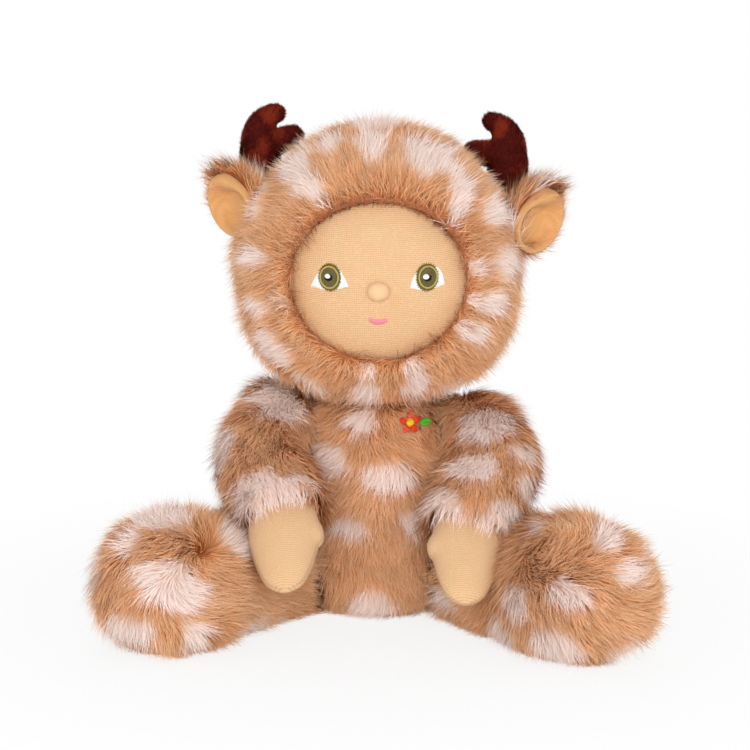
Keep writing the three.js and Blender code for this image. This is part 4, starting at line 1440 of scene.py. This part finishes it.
def weld(name, forms, voxel, rounds, material):
    """Joins closed forms into one skin and softens the joins."""
    verts, faces = [], []
    for form_verts, form_faces in forms:
        start = len(verts)
        verts += [tuple(v) for v in form_verts]
        faces += [tuple(start + i for i in f) for f in form_faces]
    made = make_object(name, verts, faces, material)
    remesh = made.modifiers.new("skin", "REMESH")
    remesh.mode = "VOXEL"
    remesh.voxel_size = voxel
    soften = made.modifiers.new("soften", "SMOOTH")
    soften.factor = 0.6
    soften.iterations = rounds
    apply_modifiers(made)
    made.data.shade_smooth()
    return made


def welded_filling(name, body, forms):
    made = weld(name, forms, FILLING_VOXEL, 2, "loose_filling")
    finish_piece(made, body, [name.replace("_stuffing", "_filling")])


# Where an antler's foot stands, the heights of its beam and fork, and its tine's length
ANTLER_FOOT, BEAM_TALL, FORK, TINE_LONG = 176, 47, 28, 17
# Stations of the beam, all in shares: along it, its height, its way outward and its radius
BEAM = (
    (0, 0, -0.16, 0.8), (0.31, 0.3, 0.03, 0.9), (0.45, 0.45, 0.06, 0.94), (0.57, 0.58, 0.06, 0.92),
    (0.69, 0.72, 0.055, 0.82), (0.765, 0.8, 0.035, 0.68), (0.83, 0.86, -0.01, 0.53),
    (0.895, 0.9, -0.07, 0.42), (0.95, 0.915, -0.13, 0.36), (1, 0.92, -0.185, 0),
)
TINE = ((0, 0), (0.1, 0.8), (0.35, 1), (0.6, 0.92), (0.8, 0.84), (0.93, 0.56), (1, 0))
ROUNDED = ((0, 0), (0.1, 0.66), (0.35, 1), (0.65, 1), (0.9, 0.66), (1, 0))


class DOLL_OT_antlers(bpy.types.Operator):
    """Makes the stuffed velour antlers with their short pile"""

    bl_idname = "doll.antlers"
    bl_label = "Antlers"

    def forms(self, side, inset):
        facts = SIDES[side]

        def place(outward, up):
            across = facts["sign"] * (50 + facts["antler_shift"] + outward)
            return np.array([across, 5, ANTLER_FOOT + facts["antler_lift"] + up]) * MM

        tilt = math.radians(facts["tine_tilt"])
        fork = place(0, FORK)
        tip = place(-TINE_LONG * math.cos(tilt), FORK + TINE_LONG * math.sin(tilt))
        beam = [place(o * BEAM_TALL, u * BEAM_TALL) for _, u, o, _ in BEAM]
        beam[-1] += (beam[-2] - beam[-1]) * inset / (3 * MM)
        tip += (fork - tip) * inset / (TINE_LONG * MM)
        y = np.array([0, 1.0, 0])
        thick, thin = BEAM_RADIUS - inset, TINE_RADIUS - inset
        return [
            limb(beam, [(s, r) for s, _, _, r in BEAM], y, thick, thick, 28, 30),
            limb([fork, tip], TINE, y, thin, thin, 24, 30),
        ]

    def execute(self, context):
        for side in SIDES:
            made = weld(side + "_antler", self.forms(side, 0), VOXEL, 6, "antler_velour")
            places, normals = vertex_places(made), vertex_normals(made)
            # Painted light: the antler pile turns to its paler rust on its upper sides, where the lamps
            # fall, and in random patches. This share is stored where the fawn pile keeps its cream
            # spots.
            light = np.clip(0.25 + 0.9 * patchy(places, 120) + 0.35 * normals[:, 2], 0, 1)
            comb = tangent(wander(places, 130) + 0.5 * UP, normals)
            foot = (ANTLER_FOOT + SIDES[side]["antler_lift"]) * MM
            cover = np.where(places[:, 2] > foot, 1.0, 0.0)
            dress(made, comb, cover, light)
            grow_pile(
                made, side + "_antler_pile", "head", "antler_strands", 12e6, 1.9 * MM,
                0.3 * MM, 0.5, 2.2 * MM, 0.35, 0.5, 40 + SIDES[side]["sign"], "brown_velour",
            )
            undress(made)
            finish_piece(made, "head", [side + "_antler_cover"])
            welded_filling(side + "_antler_stuffing", "head", self.forms(side, 1.8 * MM))
        return {"FINISHED"}


def ear_place(side):
    facts = SIDES[side]
    sign = facts["sign"]
    place = Vector((sign * (65 + facts["ear_shift"]), -9, 180 + facts["ear_lift"])) * MM
    turns = (
        Matrix.Translation(place)
        @ Matrix.Rotation(math.radians(sign * facts["ear_turn"]), 4, "Z")
        @ Matrix.Rotation(math.radians(6), 4, "X")
        @ Matrix.Rotation(math.radians(sign * facts["ear_lean"]), 4, "Y")
        @ Matrix.Rotation(math.pi, 4, "X")
        @ Matrix.Diagonal(Vector((sign, 1, -17 / 14.5, 1)))
    )
    turns = np.array(turns)
    return turns[:3, :3], turns[:3, 3]


def ear_back(radius, depth):
    """A cup, open towards +Y, of one thickness of cloth. +X is its outer edge and +Z its tip."""
    angle = circle(64)
    profile = [(math.sin(t), -math.cos(t)) for t in np.linspace(0.02, math.pi / 2, 16)]
    profile += [(0.9 * math.sin(t), -0.9 * math.cos(t)) for t in np.linspace(math.pi / 2, 0.03, 16)]
    rings = []
    for r, y in profile:
        x, z = radius * r * np.cos(angle), radius * r * np.sin(angle)
        rings.append(np.stack([x, np.full(len(angle), depth * y), z], axis=1))
    return rings


def ear_lining(radius, depth):
    """A hollow whose rim rolls over, thickest at the tip and along the inner edge."""
    angle = circle(96)

    def near(degrees, spread):
        away = np.abs((angle - math.radians(degrees) + math.pi) % (2 * math.pi) - math.pi)
        return gauss(away, math.radians(spread))

    edge = radius * (1 - 0.12 * near(160, 38))
    roll = (0.9 + 2.1 * near(118, 62)) * MM
    inner = edge - 2.2 * roll
    rings = []
    for k, turn in enumerate(angle):
        rim, thick, deep = edge[k], roll[k], inner[k]
        section = smooth_through([
            (0.9 * rim, -5 * MM), (0.995 * rim, -1.6 * MM), (rim - 0.5 * thick, 0.7 * thick),
            (rim - 1.3 * thick, 0.8 * thick), (deep, -0.25 * thick), (0.74 * deep, -0.62 * depth),
            (0.4 * deep, -0.93 * depth), (0.02 * deep, -depth),
        ], 34)
        r, y = section.T
        drift = np.clip(1 - r / deep, 0, 1)[:, None] * np.array([-3.4, 0, -2.4]) * MM
        rings.append(np.stack([r * math.cos(turn), y, r * math.sin(turn)], axis=1) + drift)
    return list(np.array(rings).transpose(1, 0, 2))


class DOLL_OT_ears(bpy.types.Operator):
    """Makes the ears: fur backs and rolled linings"""

    bl_idname = "doll.ears"
    bl_label = "Ears"

    def execute(self, context):
        fur = context.scene.doll_fur
        for side, facts in SIDES.items():
            turn, shift = ear_place(side)
            local, faces = grid_mesh(ear_back(13.2 * MM, 11.5 * MM))
            local[:, 1] -= 0.8 * MM
            verts = local @ turn.T + shift
            made, places, normals = backing(side + "_ear", verts, faces)
            out, axis, tip = unit(turn.T)
            cover = np.where(normals @ axis < 0.3, 1.0, 0.0)
            inside = np.linalg.norm((places - HEAD_CENTRE) / HEAD_HALF, axis=1) < 1.0
            cover[inside] = 0
            lip = np.clip((local[:, 1] + 6 * MM) / (3 * MM), 0, 1)
            bare = np.clip((local[:, 0] * 0.8 - local[:, 2]) / (5 * MM), 0, 1)
            bare *= 1.0 if side == "right" else 0.35
            cover *= 1 - lip * bare
            stretch = 1 - 0.4 * lip * np.clip(local[:, 0] / (8 * MM), 0, 1)
            comb = tip + 0.25 * out * (local[:, 0] / (12 * MM))[:, None] + 0.15 * axis
            spot = (-59, 190, 6, 8) if side == "right" else (74, 195, 7, 5)
            furred_piece(
                made, side + "_ear_pile", "head", [side + "_ear_back"], comb, cover, (spot,),
                20 + facts["sign"], fur, stretch, size=11.5 * MM, rise=0.4, tilt=0.7,
            )
            local, faces = grid_mesh(ear_lining(13.4 * MM, 7.5 * MM))
            local[:, 1] += 1.2 * MM
            round_way = np.arctan2(local[:, 2], local[:, 0]) * LINING_RADIUS
            flat = np.stack([round_way, np.hypot(local[:, 0], local[:, 2]) - local[:, 1]], axis=1)
            verts = local @ turn.T + shift
            lining = make_object(side + "_ear_cup", verts, faces, "ear_knit")
            lay_uv(lining, flat, 2 * math.pi * LINING_RADIUS)
            finish_piece(lining, "head", [side + "_ear_lining"])
        return {"FINISHED"}


def lay_uv(made, flat, wrap=None):
    """Writes flat coordinates, in metres, as the Knit UV map, without a tear where they wrap."""
    mesh = made.data
    layer = mesh.uv_layers.new(name="Knit")
    uv = np.asarray(flat, float)[read(mesh.loops, "vertex_index", kind=np.int32)]
    if wrap:
        for polygon in mesh.polygons:
            span = slice(polygon.loop_start, polygon.loop_start + polygon.loop_total)
            values = uv[span, 0]
            if values.max() - values.min() > wrap / 2:
                values[values < values.max() - wrap / 2] += wrap
                uv[span, 0] = values
    write(layer.data, "uv", uv)


SLEEVE = ((0, 0), (0.02, 0.44), (0.08, 0.78), (0.2, 1), (0.45, 1), (0.75, 1), (1, 0.97))
HAND = ((0, 0.72), (0.15, 0.9), (0.32, 1), (0.5, 0.94), (0.72, 0.76), (0.9, 0.5), (1, 0))
ARM_SPOTS = {
    "right": ((-51, 107, 7.9, 4.5), (-46, 93, 8.7, 11.6), (-66, 76, 6.9, 8.7), (-45, 61, 15.2, 8.6)),
    "left": (
        (47, 86, 12.1, 5.7), (41, 72, 8.5, 4.8), (61, 75, 5.1, 3.5), (61, 64, 5.1, 4.8),
        (29, 57, 5.5, 8.6), (51, 52, 12.6, 7.7),
    ),
}


def arm_stations(side):
    fit = side_frame(side, "shoulder")

    def station(forward, down, outward):
        return fit["root"] + (fit["heading"] * forward - UP * down + fit["axis"] * outward) * MM

    bend, cuff = station(28, 6.5, 8), station(60, 20 + SIDES[side]["wrist_drop"], -6)
    tip = station(92, 49 + SIDES[side]["hand_drop"], -11)
    upper = unit(bend - fit["root"])
    return fit, [fit["root"] - upper * 18 * MM, fit["root"], bend, cuff], tip


def pressed(places, fit, reach, fur):
    """Which places lie against the torso at a limb's joint."""
    depth, _, ring = off_axis(places, fit["point"], fit["axis"])
    return (depth < GAP + fur.inset * 0.5 + 0.6 * MM) & (ring < reach)


class DOLL_OT_arms(bpy.types.Operator):
    """Makes the sleeves: backing, pile and filling"""

    bl_idname = "doll.arms"
    bl_label = "Arms"

    def execute(self, context):
        fur = context.scene.doll_fur
        for side in SIDES:
            fit, path, _ = arm_stations(side)
            radius = SLEEVE_RADIUS - fur.inset * 0.7
            verts, faces = limb(path, SLEEVE, fit["axis"], radius, radius, 56, 60)
            verts = press(verts, fit["point"], fit["axis"], ARM_PRESS, GAP + fur.inset * 0.5)
            verts = rest_on_leg(verts, side, 1.0 * MM)
            full = unit(UP + 0.8 * fit["axis"])
            away = verts - fit["root"]
            near = gauss(np.linalg.norm(away, axis=1), 30 * MM)
            towards = np.clip(unit(away) @ full, 0, 1) ** 2
            verts = verts + full * (near * towards * SIDES[side]["shoulder_fill"] * MM)[:, None]
            made, places, _ = backing(side + "_sleeve", verts, faces)
            line = smooth_through(path, 60)
            nearest = np.argmin(np.linalg.norm(places[:, None] - line[None], axis=2), axis=1)
            heading = unit(np.gradient(line, axis=0))[nearest]
            away = unit(places - line[nearest])
            top = gauss(np.linalg.norm(places - fit["root"], axis=1), 32 * MM)[:, None]
            comb = heading * (1 - 0.85 * top) + (0.35 + 0.2 * top) * away * np.array([1, 1, 0.3])
            comb = comb - (0.55 + 0.7 * top) * UP
            cover = np.ones(len(places))
            cover[pressed(places, fit, 30 * MM, fur)] = 0
            cuff = unit(path[-1] - path[-2])
            cover[(places - path[-1]) @ cuff > -0.2 * MM] = 0.4
            furred_piece(
                made, side + "_sleeve_pile", side + "_arm", [side + "_arm_cover"], comb, cover,
                ARM_SPOTS[side], 4 + SIDES[side]["sign"], fur, rise=0.38, tilt=0.9,
            )
            verts, faces = limb(path, SLEEVE, fit["axis"], ARM_FILLING, ARM_FILLING, 24, 20, 0.9)
            verts = press(verts, fit["point"], fit["axis"], ARM_PRESS, 9 * MM)
            verts = rest_on_leg(verts, side, 5 * MM)
            filling_piece(side + "_arm_stuffing", side + "_arm", verts, faces)
        return {"FINISHED"}


class DOLL_OT_hands(bpy.types.Operator):
    """Makes the knitted mittens with their thumbs and side seams"""

    bl_idname = "doll.hands"
    bl_label = "Hands"

    def forms(self, side, inset):
        fit, path, tip = arm_stations(side)
        cuff = path[-1]
        ahead = unit(tip - cuff)
        start = cuff - ahead * 6 * MM
        root = start + (tip - start) * 0.2 - fit["axis"] * 9 * MM
        end = tip - ahead * inset
        mitten = limb([start, end], HAND, fit["axis"], MITTEN[0] - inset, MITTEN[1] - inset, 40, 44)
        point = root + ahead * 15 * MM - fit["axis"] * 4 * MM
        thumb = limb([root, point], ROUNDED, fit["axis"], THUMB[0] - inset, THUMB[1] - inset, 24, 20)
        return fit, start, ahead, [mitten, thumb]

    def execute(self, context):
        for side in SIDES:
            fit, start, ahead, forms = self.forms(side, 0)
            made = weld(side + "_mitten", forms, VOXEL, 10, "hand_knit")
            places, normals = vertex_places(made), vertex_normals(made)
            up = unit(np.cross(ahead, fit["axis"]))
            level = (places - start) @ up
            seam = gauss(level + 0.6 * MM, 0.8 * MM)
            places = places - normals * (seam * 0.55 * MM)[:, None]
            write(made.data.vertices, "co", places)
            made.data.update()
            flat = np.stack([(places - start) @ fit["axis"], (places - start) @ ahead], axis=1)
            lay_uv(made, flat)
            finish_piece(made, side + "_arm", [side + "_hand_cover"])
            *_, inner = self.forms(side, 1.8 * MM)
            welded_filling(side + "_hand_stuffing", side + "_arm", inner)
        return {"FINISHED"}


LEG = (
    (0, 0), (0.015, 0.36), (0.06, 0.65), (0.165, 0.845), (0.36, 0.79), (0.55, 0.75), (0.66, 0.87),
    (0.8, 1), (0.92, 0.81), (0.98, 0.42), (1, 0),
)
LEG_SPOTS = {
    "right": (
        (-94, 55, 12.2, 5.4), (-103, 46, 3.6, 5.8), (-115, 37, 3.7, 9.1), (-85, 32, 10.4, 7.3),
        (-95, 36, 5.6, 3.3), (-64, 42, 7.3, 8.3), (-78, 13, 5.6, 7), (-59, 9, 7, 5.5),
        (-102, 15, 8.9, 5.8), (-31, 19, 5.8, 5.1),
    ),
    "left": (
        (93, 50, 4.8, 8.1), (108, 44, 3.2, 3.7), (100, 39, 5.2, 3.6), (79, 32, 7.9, 4),
        (61, 26, 6.4, 5.3), (58, 8, 5.7, 8.3), (75, 12, 7.9, 6.9), (99, 9, 7.2, 5.7),
        (68, 54, 6.1, 5), (34, 14, 7.3, 3.7),
    ),
}


# Which way the centre of each foot's whorl of pile faces
WHORL = {"right": (0.04, -0.72, 0.78), "left": (-0.42, -0.68, 0.74)}


def leg_line(side):
    facts = SIDES[side]
    fit = side_frame(side, "hip")
    heel = fit["root"] - fit["heading"] * 24.5 * MM
    toe = fit["root"] + fit["heading"] * (129 - facts["leg_tuck"]) * MM
    toe = toe + fit["axis"] * facts["foot_outward"] * MM
    toe[2] = 28.5 * MM
    return fit, heel, toe


def rest_on_leg(verts, side, gap):
    """Moves what lies in the leg out to its skin, where a sleeve rests on it."""
    _, heel, toe = leg_line(side)
    ahead = unit(toe - heel)
    run, away, span = off_axis(verts, heel, ahead)
    outline = smooth_through(LEG, 2 * LINE_POINTS)
    share = np.interp(run / np.linalg.norm(toe - heel), outline[:, 0], outline[:, 1])
    skin = LEG_RADIUS * share + gap
    push = np.where((run > 0) & (span < skin), skin - span, 0)
    return verts + unit(away) * push[:, None]


class DOLL_OT_legs(bpy.types.Operator):
    """Makes the legs with their round feet: backing, pile and filling"""

    bl_idname = "doll.legs"
    bl_label = "Legs"

    def form(self, side, inset, sides, steps):
        fit, heel, toe = leg_line(side)
        ahead = unit(toe - heel)
        line, radius = [heel + ahead * inset, toe - ahead * inset], LEG_RADIUS - inset
        verts, faces = limb(line, LEG, fit["axis"], radius, radius, sides, steps)
        low = unit(-0.8 * fit["axis"] - UP)
        run, away, _ = off_axis(verts, heel, ahead)
        slump = gauss(run - 70 * MM, 45 * MM) * np.clip(unit(away) @ low, 0, 1) ** 2
        verts = verts + low * (slump * SIDES[side]["leg_slump"] * MM)[:, None]
        verts = press(verts, fit["point"], fit["axis"], LEG_PRESS, GAP + inset * 0.5)
        verts[:, 2] = np.maximum(verts[:, 2], 0.3 * MM + 0.3 * inset)
        return fit, heel, toe, verts, faces

    def execute(self, context):
        fur = context.scene.doll_fur
        for side in SIDES:
            fit, heel, toe, verts, faces = self.form(side, fur.inset, 72, 84)
            made, places, _ = backing(side + "_leg", verts, faces)
            ahead = unit(toe - heel)
            facing = unit(np.array(WHORL[side]))
            ball = toe - ahead * 28 * MM
            whorl = np.linalg.norm(places - ball - facing * 28 * MM, axis=1)
            away = unit(places - ball - facing * 18 * MM)
            calm = np.clip(whorl / (36 * MM), 0, 1)[:, None]
            comb = away + 0.7 * np.cross(facing, away) - 0.3 * UP * calm
            comb = comb + 3.6 * wander(places, 48) * (1 - calm) ** 0.4
            cover = np.ones(len(places))
            cover[pressed(places, fit, 27 * MM, fur)] = 0
            cover[places[:, 2] < 1.6 * MM] = 0.2
            lean = 0.7 + 0.3 * np.clip(whorl / (30 * MM), 0, 1)
            furred_piece(
                made, side + "_leg_pile", side + "_leg", [side + "_leg_cover"], comb, cover,
                LEG_SPOTS[side], 8 + SIDES[side]["sign"], fur, lean=lean, rise=0.5,
                size=fur.pile * 1.05,
            )
            *_, verts, faces = self.form(side, FILLING_INSET, 24, 28)
            filling_piece(side + "_leg_stuffing", side + "_leg", verts, faces)
        return {"FINISHED"}


class DOLL_OT_joints(bpy.types.Operator):
    """Gives the hidden disc joints their moulded finish"""

    bl_idname = "doll.joints"
    bl_label = "Disc joints"

    def execute(self, context):
        material = bpy.data.materials["moulded_joint"]
        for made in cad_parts.values():
            if not made.hide_render:
                made.data.materials.clear()
                made.data.materials.append(material)
        return {"FINISHED"}


class DOLL_OT_stitching(bpy.types.Operator):
    """Builds the thread tree that all embroidery uses"""

    bl_idname = "doll.stitching"
    bl_label = "Stitching"

    def execute(self, context):
        stitch_tree()
        return {"FINISHED"}


class DOLL_PT_panel(bpy.types.Panel):
    """Lists the doll's settings and its pieces"""

    bl_idname = "DOLL_PT_panel"
    bl_label = "Fawn suit doll"
    bl_space_type = "VIEW_3D"
    bl_region_type = "UI"
    bl_category = "Doll"

    def draw(self, context):
        layout = self.layout
        for group in GROUPS:
            settings, box = getattr(context.scene, group), layout.box()
            for name in settings.bl_rna.properties.keys():
                if name not in ("rna_type", "name"):
                    box.prop(settings, name)
        for step in STEPS:
            layout.operator(step.bl_idname)


STEPS = (
    DOLL_OT_materials, DOLL_OT_stitching, DOLL_OT_stage, DOLL_OT_torso, DOLL_OT_hood, DOLL_OT_face,
    DOLL_OT_eyes, DOLL_OT_mouth, DOLL_OT_ears, DOLL_OT_antlers, DOLL_OT_arms, DOLL_OT_hands,
    DOLL_OT_legs, DOLL_OT_sprig, DOLL_OT_joints,
)
GROUPS = {
    "doll_fur": DollFur, "doll_knit": DollKnit, "doll_thread": DollThread, "doll_stage": DollStage,
}


def register():
    for made in (*GROUPS.values(), *STEPS, DOLL_PT_panel):
        bpy.utils.register_class(made)
    for name, group in GROUPS.items():
        setattr(bpy.types.Scene, name, PointerProperty(type=group))


def unregister():
    for name in GROUPS:
        delattr(bpy.types.Scene, name)
    for made in reversed((*GROUPS.values(), *STEPS, DOLL_PT_panel)):
        bpy.utils.unregister_class(made)


def main():
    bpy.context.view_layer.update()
    register()
    for step in STEPS:
        group, name = step.bl_idname.split(".")
        getattr(getattr(bpy.ops, group), name)()
    bpy.context.view_layer.update()


if __name__ == "__main__":
    main()
